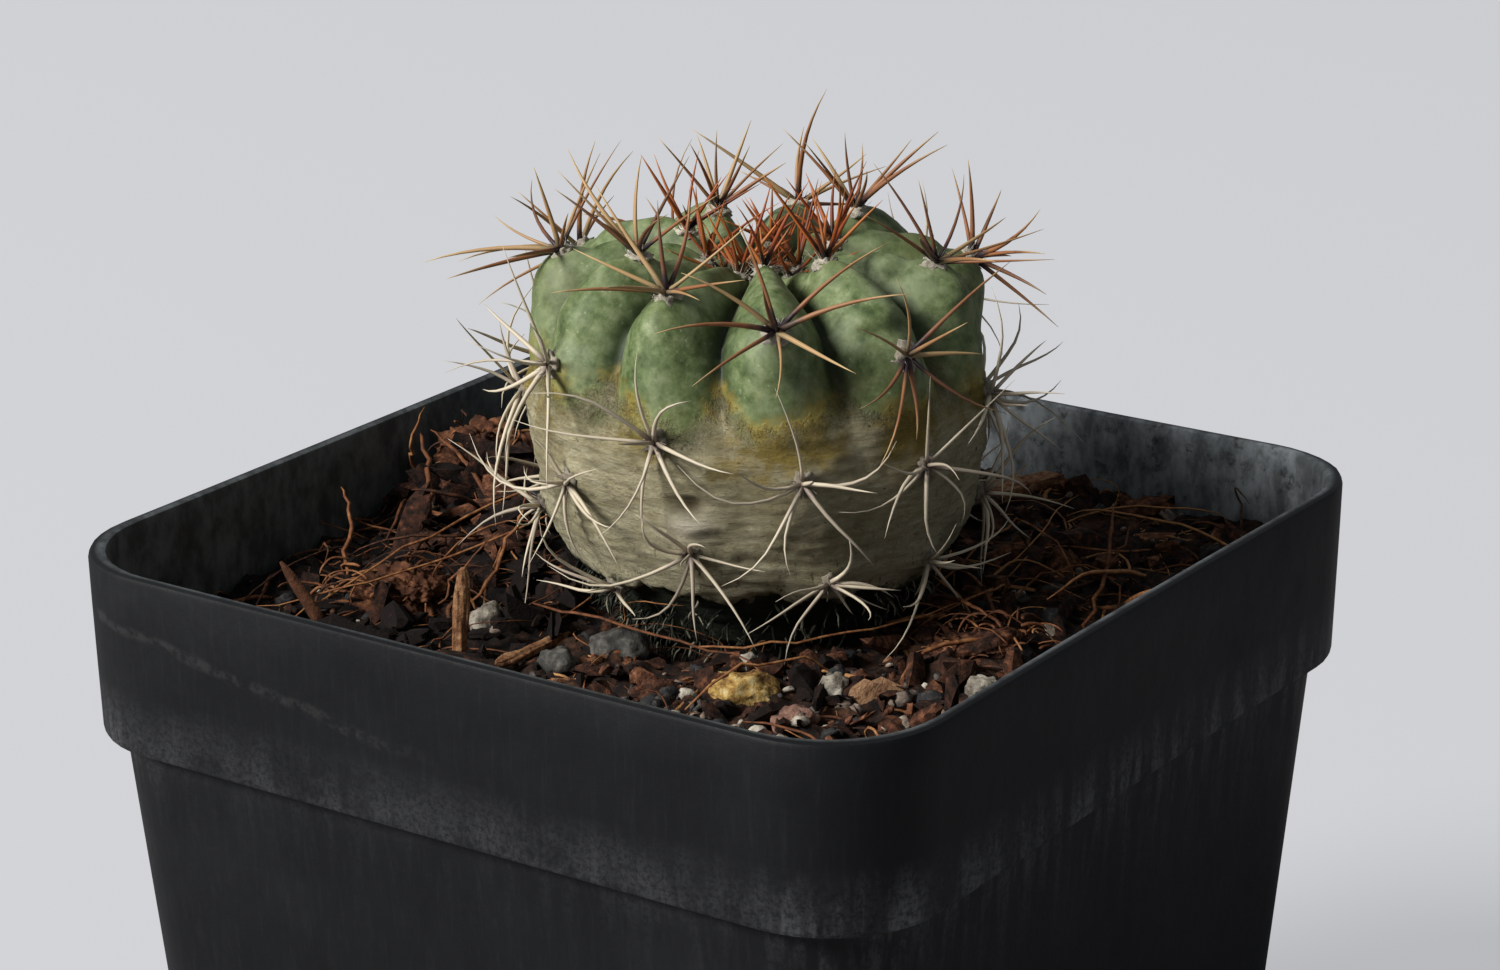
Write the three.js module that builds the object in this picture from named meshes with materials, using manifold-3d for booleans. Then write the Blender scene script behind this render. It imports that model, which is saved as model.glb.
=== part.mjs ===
// Potted round cactus: a ribbed globe cactus with clusters of spines, rooted in a square
// nursery pot of thin moulded plastic that is filled with a coir mix, stones and bark.
// Units are millimetres and +Z is up. The origin is the middle of the pot's underside.

import * as THREE from 'three';
import { mergeVertices } from 'three/addons/utils/BufferGeometryUtils.js';
import Module from 'manifold-3d';

const wasm = await Module();
wasm.setup();

// Clearance between pieces that touch.
const GAP = 0.3;

// Square pot: a thin tapered shell with a deeper band below its rim.
const POT_WIDTH = 70;
const POT_HEIGHT = 65;
const RIM_CORNER = 8.6;
const BAND_HEIGHT = 13.6;
const BAND_STEP = 1.5;
const BAND_DRAFT = 0.3;
const BAND_CHAMFER = 0.5;
const WALL = 1;
const WALL_TAPER = 0.08;
const FLOOR = 1.2;
const FOOT_WIDTH = 5;
const FOOT_RISE = 1.4;
const DRAIN_DIAMETER = 8;
const DRAIN_MARGIN = 10.388;
const FOOT_ROUND = 0.7;
const RIM_ROUND = 0.3;
const CORNER_STEPS = 6;
const SIDE_STEPS = 4;

// Potting mix: its level below the rim, its slope across the pot and its heaped corner.
const MIX_DROP = 7;
const MIX_SLOPE = 1.1;
const HEAP_HEIGHT = 2;
const HEAP_SPREAD = 11;
const HEAP_FROM_WALL = 8.4;
const HEAP_ALONG_WALL = 11.9;
const DIP_DEPTH = 0.35;
const COLLAR_RISE = 1;
const MIX_INSETS = [6, 11, 16, 21];

// Ribbed stem: it stands a little off the pot's axis.
const STEM_X = 2.2;
const STEM_Y = 0.8;
const STEM_RADIUS = 16.4;
const STEM_HEIGHT = 26;
const RIB_COUNT = 11;
const RIB_START = THREE.MathUtils.degToRad(-51);
const RIB_TWIST = THREE.MathUtils.degToRad(20.4);
const GROOVE_DEPTH = 3;
const OLD_GROOVE = 0.07;
const POINTS_PER_RIB = 6;

// Spine clusters: first areole of each rib, as a share of the rib's length from the crown.
const FIRST_AREOLES = [0.138, 0.198, 0.077, 0.145, 0.249, 0.111, 0.208, 0.165, 0.097, 0.242, 0.075];
const AREOLES_PER_RIB = 4;
const YOUNG_SPACING = 0.25;
const OLD_SPACING = 0.193;
const PAD_RADIUS = 1.1;
const PAD_THICKNESS = 0.7;
const SPINE_LENGTH = 10;
const SPINE_RADIUS = 0.24;

const STEM_BASE = POT_HEIGHT - MIX_DROP + COLLAR_RISE;
const BAND_FOOT = POT_HEIGHT - BAND_HEIGHT;
const BOTTOM_INSET = BAND_STEP + BAND_FOOT * WALL_TAPER;
const UP = new THREE.Vector3(0, 0, 1);

// ---------------------------------------------------------------- solids and lofts

// A closed geometry as a solid for joining and cutting.
function solidOf(geometry) {
  const bare = geometry.clone();
  bare.deleteAttribute('normal');
  bare.deleteAttribute('uv');
  const merged = mergeVertices(bare, 1e-4);
  const vertProperties = new Float32Array(merged.attributes.position.array);
  const triVerts = new Uint32Array(merged.index.array);
  return new wasm.Manifold(new wasm.Mesh({ numProp: 3, vertProperties, triVerts }));
}

// A joined or cut solid back as a geometry.
function geometryOf(solid) {
  const mesh = solid.getMesh();
  const geometry = new THREE.BufferGeometry();
  geometry.setAttribute('position', new THREE.BufferAttribute(mesh.vertProperties, 3));
  geometry.setIndex(new THREE.BufferAttribute(mesh.triVerts, 1));
  geometry.computeVertexNormals();
  return geometry;
}

// A closed skin through equal rings of points, from the ring round the underside's middle
// to the ring round the top's middle. Each ring runs counterclockwise seen from above.
function loft(bottomMiddle, rings, topMiddle) {
  const count = rings[0].length;
  const points = [bottomMiddle, ...rings.flat(), topMiddle];
  const top = points.length - 1;
  const faces = [];
  for (let i = 0; i < count; i += 1) {
    const next = (i + 1) % count;
    faces.push(0, 1 + next, 1 + i);
    for (let ring = 0; ring < rings.length - 1; ring += 1) {
      const low = 1 + ring * count;
      const high = low + count;
      faces.push(low + i, low + next, high + next);
      faces.push(low + i, high + next, high + i);
    }
    const last = 1 + (rings.length - 1) * count;
    faces.push(top, last + i, last + next);
  }
  const geometry = new THREE.BufferGeometry().setFromPoints(points);
  geometry.setIndex(faces);
  return geometry;
}

// A repeatable number between -1 and 1 for each seed.
function wobble(seed) {
  const value = Math.sin(seed * 12.9898 + 4.1414) * 43758.5453;
  return 2 * (value - Math.floor(value)) - 1;
}

// ---------------------------------------------------------------- pot

// A rounded square at height z, its sides moved in from the rim's outer face by inset. Its
// corners keep the rim's proportions.
function squareRing(inset, z) {
  const half = POT_WIDTH / 2 - inset;
  const corner = RIM_CORNER * half / (POT_WIDTH / 2);
  const points = [];
  for (let quarter = 0; quarter < 4; quarter += 1) {
    const turn = quarter * Math.PI / 2;
    const side = 2 * (half - corner);
    for (let step = 1; step < SIDE_STEPS; step += 1) {
      const along = side * (step / SIDE_STEPS - 0.5);
      points.push(new THREE.Vector3(half, along, z).applyAxisAngle(UP, turn));
    }
    for (let step = 0; step <= CORNER_STEPS; step += 1) {
      const angle = step / CORNER_STEPS * Math.PI / 2;
      const x = half - corner + corner * Math.cos(angle);
      const y = half - corner + corner * Math.sin(angle);
      points.push(new THREE.Vector3(x, y, z).applyAxisAngle(UP, turn));
    }
  }
  return points;
}

// Inner face of the pot's wall from the floor to the rim, as insets and heights.
function innerWall() {
  return [
    [BOTTOM_INSET + WALL, FLOOR],
    [BAND_STEP + WALL, BAND_FOOT + WALL - BAND_CHAMFER],
    [WALL + BAND_DRAFT, BAND_FOOT + WALL],
    [WALL, POT_HEIGHT],
  ];
}

function potGeometry() {
  const floorInset = BOTTOM_INSET + FOOT_WIDTH;
  const floorTop = FOOT_RISE + FLOOR;
  const rings = [
    squareRing(floorInset, FOOT_RISE),
    squareRing(floorInset - RIM_ROUND, 0),
    squareRing(BOTTOM_INSET + FOOT_ROUND, 0),
    squareRing(BOTTOM_INSET, FOOT_ROUND),
    squareRing(BAND_STEP, BAND_FOOT),
    squareRing(BAND_DRAFT + BAND_CHAMFER, BAND_FOOT),
    squareRing(BAND_DRAFT, BAND_FOOT + BAND_CHAMFER),
    squareRing(0, POT_HEIGHT - RIM_ROUND),
    squareRing(RIM_ROUND, POT_HEIGHT),
    ...innerWall().reverse().map(([inset, z]) => squareRing(inset, z)),
    squareRing(floorInset - WALL, FLOOR),
    squareRing(floorInset - WALL + 0.2, floorTop),
  ];
  const below = new THREE.Vector3(0, 0, FOOT_RISE);
  const above = new THREE.Vector3(0, 0, floorTop);
  let solid = solidOf(loft(below, rings, above));
  for (const [x, y] of drainPlaces()) {
    const drain = new THREE.CylinderGeometry(DRAIN_DIAMETER / 2, DRAIN_DIAMETER / 2, 8, 20);
    drain.rotateX(Math.PI / 2);
    drain.translate(x, y, FOOT_RISE);
    solid = solid.subtract(solidOf(drain));
  }
  return geometryOf(solid);
}

function drainPlaces() {
  const spread = POT_WIDTH / 2 - BOTTOM_INSET - FOOT_WIDTH - DRAIN_MARGIN;
  return [[spread, spread], [-spread, spread], [-spread, -spread], [spread, -spread]];
}

// ---------------------------------------------------------------- potting mix

// Height of the mix's surface: level, slope, heap by one wall and small rises and dips.
function mixHeight(x, y) {
  const slope = MIX_SLOPE * (x + y) / POT_WIDTH;
  const fromHeap = Math.hypot(x + POT_WIDTH / 2 - HEAP_FROM_WALL, y - HEAP_ALONG_WALL);
  const heap = HEAP_HEIGHT * Math.exp(-((fromHeap / HEAP_SPREAD) ** 2));
  const round = Math.hypot(x - STEM_X, y - STEM_Y) / STEM_RADIUS;
  const collar = COLLAR_RISE * Math.exp(-(round ** 2));
  const dips = DIP_DEPTH * Math.sin(x * 0.41 + 1) * Math.cos(y * 0.37 - x * 0.12);
  return POT_HEIGHT - MIX_DROP + slope + heap + collar + dips;
}

function mixSolid() {
  const floorInset = BOTTOM_INSET + FOOT_WIDTH - WALL;
  const floorTop = FOOT_RISE + FLOOR + GAP;
  const walls = innerWall().slice(0, 3).map(([inset, z]) => squareRing(inset + GAP, z + GAP));
  const tops = [WALL + BAND_DRAFT + GAP, ...MIX_INSETS].map((inset) => squareRing(inset, 0));
  for (const point of tops.flat()) {
    point.z = mixHeight(point.x, point.y);
  }
  const rings = [
    squareRing(floorInset - GAP, floorTop),
    squareRing(floorInset - GAP, FLOOR + GAP),
    ...walls,
    ...tops,
  ];
  const below = new THREE.Vector3(0, 0, floorTop);
  const above = new THREE.Vector3(0, 0, mixHeight(0, 0));
  return solidOf(loft(below, rings, above));
}

// ---------------------------------------------------------------- ribbed stem

// The stem's outline down a rib, from the crown's middle to the mix: distance from the
// axis as a share of the radius, and height above the mix as a share of the height.
const OUTLINE = [
  [0, 0.9], [0.183, 0.923], [0.366, 0.977], [0.518, 1], [0.671, 0.996], [0.793, 0.973],
  [0.896, 0.931], [0.963, 0.865], [0.991, 0.777], [1, 0.673], [1, 0.577], [0.991, 0.462],
  [0.957, 0.346], [0.902, 0.231], [0.805, 0.115], [0.659, 0],
];
const ROOTSTOCK = [[0.5, -0.096], [0.305, -0.231], [0.183, -0.423], [0.098, -0.615]];
const ROOT_TIP = -0.69;

const outline = new THREE.SplineCurve(
  OUTLINE.map(([r, h]) => new THREE.Vector2(r * STEM_RADIUS, h * STEM_HEIGHT)),
);
const RING_SHARES = [
  0.03, 0.08, 0.13, 0.18, 0.23, 0.28, 0.325, 0.365, 0.4, 0.435, 0.475, 0.52,
  0.57, 0.63, 0.7, 0.77, 0.84, 0.92, 1,
];

function smooth(low, high, value) {
  return THREE.MathUtils.smoothstep(value, low, high);
}

// The grooves start at the crown, run over the shoulder and fade out above the old skin.
function grooveDepth(share) {
  const fade = 1 - (1 - OLD_GROOVE) * smooth(0.4, 0.6, share);
  return GROOVE_DEPTH * smooth(0, 0.2, share) * fade;
}

// The ribs lean round the stem as they go down.
function ribAngle(rib, share) {
  return RIB_START + rib * 2 * Math.PI / RIB_COUNT + RIB_TWIST * smooth(0.4, 1.1, share);
}

// A point in the stem's frame, lifted off the rib's outline by a distance along its normal.
function skinPoint(share, rib, lift) {
  const point = outline.getPointAt(share);
  const along = outline.getTangentAt(share);
  const radius = point.x - along.y * lift;
  const angle = ribAngle(rib, share);
  return new THREE.Vector3(
    radius * Math.cos(angle),
    radius * Math.sin(angle),
    point.y + along.x * lift,
  );
}

function stemGeometry(grow) {
  const count = RIB_COUNT * POINTS_PER_RIB;
  const rings = RING_SHARES.map((share) => {
    const ring = [];
    for (let i = 0; i < count; i += 1) {
      const rib = i / POINTS_PER_RIB;
      const groove = 1 - Math.abs(Math.cos(rib * Math.PI));
      ring.push(skinPoint(share, rib, grow - groove * grooveDepth(share)));
    }
    return ring;
  });
  const roots = ROOTSTOCK.map(([r, h]) => {
    const ring = [];
    for (let i = 0; i < count; i += 1) {
      const angle = ribAngle(i / POINTS_PER_RIB, 1);
      const radius = r * STEM_RADIUS + grow;
      ring.push(new THREE.Vector3(radius * Math.cos(angle), radius * Math.sin(angle), h * STEM_HEIGHT));
    }
    return ring;
  });
  const below = new THREE.Vector3(0, 0, ROOT_TIP * STEM_HEIGHT - grow);
  const above = new THREE.Vector3(0, 0, outline.getPointAt(0).y + grow);
  return loft(below, [...roots.reverse(), ...rings.reverse()], above);
}

// ---------------------------------------------------------------- stones, bark and twigs

const LUMP_WOBBLE = 0.14;
const STICK_WOBBLE = 0.12;
const STICK_TAPER = 0.18;
const STICK_SIDES = 5;
// Room all round a piece in its pocket of the mix, between it and the next piece, and between
// it and the stem or the wall, and the turns round the stem, in degrees, that are tried.
const POCKET_ROOM = 0.45;
const PIECE_ROOM = 0.15;
const SIDE_ROOM = 0.6;
const SIDESTEPS = [0, -3, 3, -6, 6, -9, 9, -12, 12, -16, 16];

// A number for a point, the same for the same point in each face that shares it.
function pointKey(point) {
  return Math.round(point.x * 50) * 1.7 + Math.round(point.y * 50) * 2.3 + Math.round(point.z * 50) * 3.1;
}

// An irregular lump: a coarse ball with its points pushed in and out, then flattened.
function lumpGeometry(size, seed, detail) {
  const geometry = new THREE.IcosahedronGeometry(0.5, detail);
  const position = geometry.attributes.position;
  const point = new THREE.Vector3();
  for (let i = 0; i < position.count; i += 1) {
    point.fromBufferAttribute(position, i);
    const key = pointKey(point);
    point.multiplyScalar(1 + LUMP_WOBBLE * wobble(key + seed));
    point.multiply(size);
    position.setXYZ(i, point.x, point.y, point.z);
  }
  return geometry;
}

// A split stick or a flake of bark: a short prism with five uneven sides.
function stickGeometry(size, seed) {
  const shape = new THREE.Shape();
  for (let i = 0; i < STICK_SIDES; i += 1) {
    const angle = i * 2 * Math.PI / STICK_SIDES;
    const reach = 0.5 * (1 + STICK_WOBBLE * wobble(i * 7 + seed));
    const x = size.x * reach * Math.cos(angle);
    const y = size.y * reach * Math.sin(angle);
    if (i === 0) {
      shape.moveTo(x, y);
    } else {
      shape.lineTo(x, y);
    }
  }
  shape.closePath();
  const geometry = new THREE.ExtrudeGeometry(shape, { depth: size.z, steps: 2, bevelEnabled: false });
  geometry.translate(0, 0, -size.z / 2);
  const position = geometry.attributes.position;
  for (let i = 0; i < position.count; i += 1) {
    const narrow = 1 - STICK_TAPER * (position.getZ(i) / size.z + 0.5);
    position.setX(i, position.getX(i) * narrow);
    position.setY(i, position.getY(i) * narrow);
  }
  return geometry;
}

// Pieces that lie in the mix: name, make, size, bearing from the stem's axis in degrees and
// share of the way from the stem to the wall, height of the middle above the mix, turns about
// X, Y and Z, and colour.
const PIECES = [
  ['stone_1', lumpGeometry, [5.4, 3.8, 3], [-59.5, 0.218], 0.3, [0, 0.1, 0.5], 0xb58a3c],
  ['stone_2', lumpGeometry, [5, 3.6, 2.8], [-96.4, 0.080], 0.4, [0.1, 0, 0.4], 0x4a4e52],
  ['stone_3', lumpGeometry, [3.2, 2.2, 2.2], [-102.4, 0.313], 0.4, [0, 0.1, 0.2], 0x60605f],
  ['stone_4', lumpGeometry, [3, 2.6, 3], [-131.8, 0.233], 0.6, [0, 0.2, 0.9], 0x9c988c],
  ['stone_5', lumpGeometry, [3.4, 2.6, 2], [-50.1, 0.366], 0.3, [0.1, 0, 0.7], 0x8a6a60],
  ['stone_6', lumpGeometry, [2, 1.3, 2.4], [-41.6, 0.298], 0.6, [0, 0.1, 0.2], 0xd8d4c8],
  ['stone_7', lumpGeometry, [3, 2.4, 2.2], [-17.5, 0.657], 0.4, [0, 0, 0.3], 0xb6aca0],
  ['bark_chip_1', lumpGeometry, [6.4, 4, 2.2], [-6.3, 0.415], 0.5, [0.1, -0.15, 0.6], 0x6a3a26],
  ['bark_chip_2', lumpGeometry, [4.6, 2.4, 1.8], [-75.0, 0.375], 0.5, [0.1, 0, 0.4], 0x6b3423],
  ['husk_chunk', lumpGeometry, [7.4, 5, 4.4], [-146.5, 0.471], 0.7, [0.2, 0.1, 0.5], 0x4a2a1c],
  ['bark_slab', lumpGeometry, [8.6, 5, 6.8], [166.5, 0.928], 0.9, [0.1, -0.3, 1.2], 0x6b3420],
  ['twig_1', stickGeometry, [1.5, 1, 9], [-121.7, 0.408], 2.2, [-0.02, 0.08, 0.5], 0x8a5f3e],
  ['twig_2', stickGeometry, [1.6, 1.1, 10], [-113.8, 0.137], 0.4, [1.5, 0, 0.15], 0x9a6c42],
];

// How far a turned piece reaches from its middle in a direction.
function reachOf(mesh, direction) {
  const position = mesh.geometry.attributes.position;
  const point = new THREE.Vector3();
  let reach = 0;
  for (let i = 0; i < position.count; i += 1) {
    point.fromBufferAttribute(position, i).applyEuler(mesh.rotation);
    reach = Math.max(reach, point.dot(direction));
  }
  return reach;
}

// Distance from the stem's axis to the wall's inner face along a direction on the plan.
function wallReach(direction) {
  const half = POT_WIDTH / 2 - WALL - BAND_DRAFT;
  const toSide = (half - Math.sign(direction.x) * STEM_X) / Math.abs(direction.x);
  const toEnd = (half - Math.sign(direction.y) * STEM_Y) / Math.abs(direction.y);
  return Math.min(toSide, toEnd);
}

// Sets a piece between the stem and the wall, clear of both whatever their sizes.
function setOnMix(mesh, [, , , [bearing, share], rise], sidestep) {
  const angle = THREE.MathUtils.degToRad(bearing + sidestep);
  const away = new THREE.Vector3(Math.cos(angle), Math.sin(angle), 0);
  const nearest = OUTLINE.at(-1)[0] * STEM_RADIUS + SIDE_ROOM + reachOf(mesh, away.clone().negate());
  const farthest = wallReach(away) - SIDE_ROOM - reachOf(mesh, away);
  const distance = THREE.MathUtils.lerp(nearest, farthest, share);
  const x = STEM_X + distance * away.x;
  const y = STEM_Y + distance * away.y;
  mesh.position.set(x, y, mixHeight(x, y) + rise);
  mesh.updateMatrixWorld();
}

// A piece's shape in its place, larger all round by the room given.
function grownSolid([, make, size], index, mesh, room) {
  const geometry = make(new THREE.Vector3(...size).addScalar(2 * room), index + 1, 1);
  return solidOf(geometry.applyMatrix4(mesh.matrixWorld));
}

// Each piece in its place, or stepped round the stem where an earlier piece is in the way.
function placedPieces() {
  const others = [];
  return PIECES.map((piece, index) => {
    const [name, make, size, , , turns, colour] = piece;
    const mesh = namedMesh(name, make(new THREE.Vector3(...size), index + 1, 1), colour, 0.95);
    mesh.rotation.set(...turns);
    for (const sidestep of SIDESTEPS) {
      setOnMix(mesh, piece, sidestep);
      const reach = grownSolid(piece, index, mesh, PIECE_ROOM);
      if (others.every((other) => reach.intersect(other).isEmpty())) {
        break;
      }
    }
    others.push(grownSolid(piece, index, mesh, 0));
    return { mesh, pocket: grownSolid(piece, index, mesh, POCKET_ROOM), radius: Math.max(...size) / 2 };
  });
}

// ---------------------------------------------------------------- spines

// Angles of a cluster's radial spines round the areole, from the one that points to the
// crown, in degrees.
const RADIALS = [14, 60, 97, 138, 176, 221, 262, 304];

// Lengths as shares of the longest, rises off the skin in degrees, by age: the young ones
// at the crown stand up in a tuft and the old ones lie over the skin.
function radialPlan(share, seed) {
  const rise = 50 - 33 * smooth(0.1, 0.5, share);
  const reach = 0.54 + 0.36 * smooth(0.08, 0.35, share) - 0.24 * smooth(0.5, 0.9, share);
  return RADIALS.map((degrees, i) => ({
    around: THREE.MathUtils.degToRad(degrees + 9 * wobble(seed + i)),
    rise: THREE.MathUtils.degToRad(rise + 7 * wobble(seed + i * 3)),
    length: SPINE_LENGTH * (reach + 0.13 * wobble(seed + i * 5)),
  }));
}

function centralPlan(share, seed) {
  return {
    around: THREE.MathUtils.degToRad(40 * wobble(seed)),
    rise: THREE.MathUtils.degToRad(68 + 8 * wobble(seed + 2)),
    length: SPINE_LENGTH * (0.62 + 0.08 * wobble(seed + 4)),
  };
}

const outlineSamples = outline.getSpacedPoints(70);

// Whether a point in the stem's frame stays clear of the skin.
function clearOfSkin(point, room) {
  const flat = new THREE.Vector2(Math.hypot(point.x, point.y), point.z);
  return outlineSamples.every((sample) => flat.distanceTo(sample) > room);
}

// Whether a point in the pot's frame stays clear of the mix and the pot, and inside the rim.
function clearOfPot(point, room) {
  const reach = Math.max(Math.abs(point.x), Math.abs(point.y));
  const inside = POT_WIDTH / 2 - WALL - BAND_STEP;
  const low = point.z < POT_HEIGHT + 2 * room;
  if (reach > (low ? inside - 2 * room : inside)) {
    return false;
  }
  return point.z > mixHeight(point.x, point.y) + 2 * room;
}

// Whether a spine from the areole stays clear of everything that is already placed.
function spineIsClear(line, stem, cluster, taken) {
  const room = SPINE_RADIUS + GAP;
  const point = new THREE.Vector3();
  for (let step = 0; step <= 26; step += 1) {
    line.at(step / 26, point);
    if (!clearOfPot(point, room)) {
      return false;
    }
    point.sub(stem.position);
    if (!clearOfSkin(point, step < 4 ? room * 0.85 : room * 1.1)) {
      return false;
    }
  }
  return taken.every((other) => {
    if (other.cluster === cluster) {
      return true;
    }
    const apart = Math.sqrt(line.distanceSqToLine3(other.line, new THREE.Vector3(), new THREE.Vector3()));
    return apart > room + other.radius;
  });
}

// The small turns that are tried when a spine's first direction is taken.
function attempts() {
  const list = [];
  for (const shorter of [1, 0.8, 0.62, 0.48]) {
    for (const rise of [0, 7, -7, 14, 20]) {
      for (const around of [0, 8, -8, 16, -16]) {
        list.push({ rise, around, shorter, turn: Math.abs(rise) + Math.abs(around) });
      }
    }
  }
  return list.sort((a, b) => a.turn - b.turn + (b.shorter - a.shorter) * 40);
}
const ATTEMPTS = attempts();

// The direction of a spine in its areole's frame: X runs up the rib and Z off the skin.
function spineDirection(plan, attempt) {
  const around = plan.around + THREE.MathUtils.degToRad(attempt.around);
  const rise = plan.rise + THREE.MathUtils.degToRad(attempt.rise);
  return new THREE.Vector3(
    Math.cos(rise) * Math.cos(around),
    Math.cos(rise) * Math.sin(around),
    Math.sin(rise),
  );
}

// One spine that has found room, or nothing where it has none and has broken off.
function placedSpine(plan, areole, stem, cluster, taken) {
  for (const attempt of ATTEMPTS) {
    const direction = spineDirection(plan, attempt);
    const length = plan.length * attempt.shorter;
    const line = new THREE.Line3(new THREE.Vector3(), direction.clone().multiplyScalar(length));
    line.applyMatrix4(areole.matrixWorld);
    if (spineIsClear(line, stem, cluster, taken)) {
      taken.push({ line, radius: SPINE_RADIUS, cluster });
      return { direction, length };
    }
  }
  return null;
}

function spineSolid({ direction, length }) {
  const cone = new THREE.ConeGeometry(SPINE_RADIUS, length, 3);
  cone.translate(0, length / 2, 0);
  const turn = new THREE.Quaternion().setFromUnitVectors(new THREE.Vector3(0, 1, 0), direction);
  return solidOf(cone.applyQuaternion(turn));
}

// Radius of the woolly pad that a cluster grows from: small on the newest areoles.
function padRadius(share) {
  return PAD_RADIUS * (0.65 + 0.35 * smooth(0.06, 0.25, share));
}

function padSolid(share) {
  const radius = padRadius(share);
  const pad = new THREE.IcosahedronGeometry(1, 0);
  pad.scale(radius * 1.15, radius, PAD_THICKNESS / 2);
  return solidOf(pad);
}

// An areole's frame on its rib, just off the skin.
function areoleFrame(rib, share, stem) {
  const lift = GAP + PAD_THICKNESS / 2 + 0.05;
  const place = skinPoint(share, rib, lift);
  const outward = skinPoint(share, rib, lift + 1).sub(place);
  const slope = outline.getTangentAt(share);
  const angle = ribAngle(rib, share);
  const upward = new THREE.Vector3(-slope.x * Math.cos(angle), -slope.x * Math.sin(angle), -slope.y);
  const sideways = new THREE.Vector3().crossVectors(outward, upward);
  const frame = new THREE.Group();
  frame.position.copy(place);
  frame.quaternion.setFromRotationMatrix(new THREE.Matrix4().makeBasis(upward, sideways, outward));
  stem.add(frame);
  frame.updateMatrixWorld(true);
  return frame;
}

function areoleShares(first) {
  const shares = [first];
  while (shares.length < AREOLES_PER_RIB) {
    const last = shares.at(-1);
    shares.push(last + (last < 0.41 ? YOUNG_SPACING : OLD_SPACING));
  }
  return shares;
}

function clusterColour(share) {
  if (share < 0.16) {
    return 0xb5532c;
  }
  return share < 0.5 ? 0x8d7560 : 0xcbb795;
}

function addSpines(stem, taken) {
  const clusters = [];
  FIRST_AREOLES.forEach((first, rib) => {
    areoleShares(first).forEach((share, i) => {
      const areole = areoleFrame(rib, share, stem);
      const name = `spines_rib${String(rib + 1).padStart(2, '0')}_${i + 1}`;
      clusters.push({ name, rib, share, areole, seed: rib * 31 + i * 101 });
    });
  });
  for (const cluster of clusters) {
    const middle = cluster.areole.getWorldPosition(new THREE.Vector3());
    taken.push({ line: new THREE.Line3(middle, middle), radius: padRadius(cluster.share) * 1.15, cluster });
  }
  clusters.sort((a, b) => a.share - b.share);
  for (const cluster of clusters) {
    const plans = [centralPlan(cluster.share, cluster.seed), ...radialPlan(cluster.share, cluster.seed)];
    let solid = padSolid(cluster.share);
    for (const plan of plans) {
      const spine = placedSpine(plan, cluster.areole, stem, cluster, taken);
      if (spine) {
        solid = solid.add(spineSolid(spine));
      }
    }
    cluster.areole.add(namedMesh(cluster.name, geometryOf(solid), clusterColour(cluster.share), 0.6));
  }
}

// ---------------------------------------------------------------- assembly

function namedMesh(name, geometry, color, roughness) {
  const material = new THREE.MeshStandardMaterial({ color, roughness, metalness: 0 });
  const mesh = new THREE.Mesh(geometry, material);
  mesh.name = name;
  return mesh;
}

const plant = new THREE.Group();
plant.add(namedMesh('pot', potGeometry(), 0x23262b, 0.55));

const stem = new THREE.Group();
stem.position.set(STEM_X, STEM_Y, STEM_BASE);
stem.add(namedMesh('cactus_body', geometryOf(solidOf(stemGeometry(0))), 0x5f7f52, 0.7));
stem.updateMatrixWorld(true);

let mix = mixSolid().subtract(solidOf(stemGeometry(1.2 * GAP).translate(STEM_X, STEM_Y, STEM_BASE)));
const taken = [];
for (const { mesh, pocket, radius } of placedPieces()) {
  mix = mix.subtract(pocket);
  taken.push({ line: new THREE.Line3(mesh.position, mesh.position), radius, cluster: null });
  plant.add(mesh);
}
plant.add(namedMesh('potting_mix', geometryOf(mix), 0x3a241a, 1));
addSpines(stem, taken);
plant.add(stem);

export default plant;
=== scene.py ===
"""Looks of the potted round cactus: a banded square nursery pot, a bed of coir mix with
stones and bark, and a ribbed cactus with woolly areoles and clustered spines."""

import math
import random

import bmesh
import bpy
import numpy as np
from mathutils import Matrix, Vector, noise


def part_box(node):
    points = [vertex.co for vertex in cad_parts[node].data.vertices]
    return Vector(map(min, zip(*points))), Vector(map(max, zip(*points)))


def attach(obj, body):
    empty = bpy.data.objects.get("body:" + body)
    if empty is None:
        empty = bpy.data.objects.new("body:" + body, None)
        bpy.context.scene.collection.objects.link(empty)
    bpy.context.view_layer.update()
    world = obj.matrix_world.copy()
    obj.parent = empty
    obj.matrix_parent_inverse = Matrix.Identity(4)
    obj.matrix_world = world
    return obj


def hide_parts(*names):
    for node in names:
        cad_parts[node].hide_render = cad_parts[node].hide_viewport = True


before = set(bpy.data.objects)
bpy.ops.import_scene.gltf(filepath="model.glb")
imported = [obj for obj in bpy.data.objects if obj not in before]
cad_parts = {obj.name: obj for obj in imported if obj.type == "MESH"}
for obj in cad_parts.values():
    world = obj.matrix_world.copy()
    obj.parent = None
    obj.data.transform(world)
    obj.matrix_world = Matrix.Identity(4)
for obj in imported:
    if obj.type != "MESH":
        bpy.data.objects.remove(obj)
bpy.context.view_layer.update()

MM = 0.001
SEED = 11
rng = random.Random(SEED)
noise.seed_set(SEED)

# Pot, from its solid: the rim's half width and top, and the wall's own sizes.
RIM_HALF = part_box("pot")[1].x
RIM_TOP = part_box("pot")[1].z
RIM_CORNER = 8.6 * MM
BAND_FOOT = RIM_TOP - 13.6 * MM
BAND_STEP = 1.5 * MM
BAND_DRAFT = 0.3 * MM
WALL = 1.0 * MM
BODY_TAPER = 0.08
FOOT_WIDTH = 5 * MM
FOOT_RISE = 1.4 * MM
FLOOR = 1.2 * MM
DRAIN_SPREAD = 14 * MM
DRAIN_RADIUS = 4 * MM
BOTTOM_INSET = BAND_STEP + BAND_FOOT * BODY_TAPER

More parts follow.
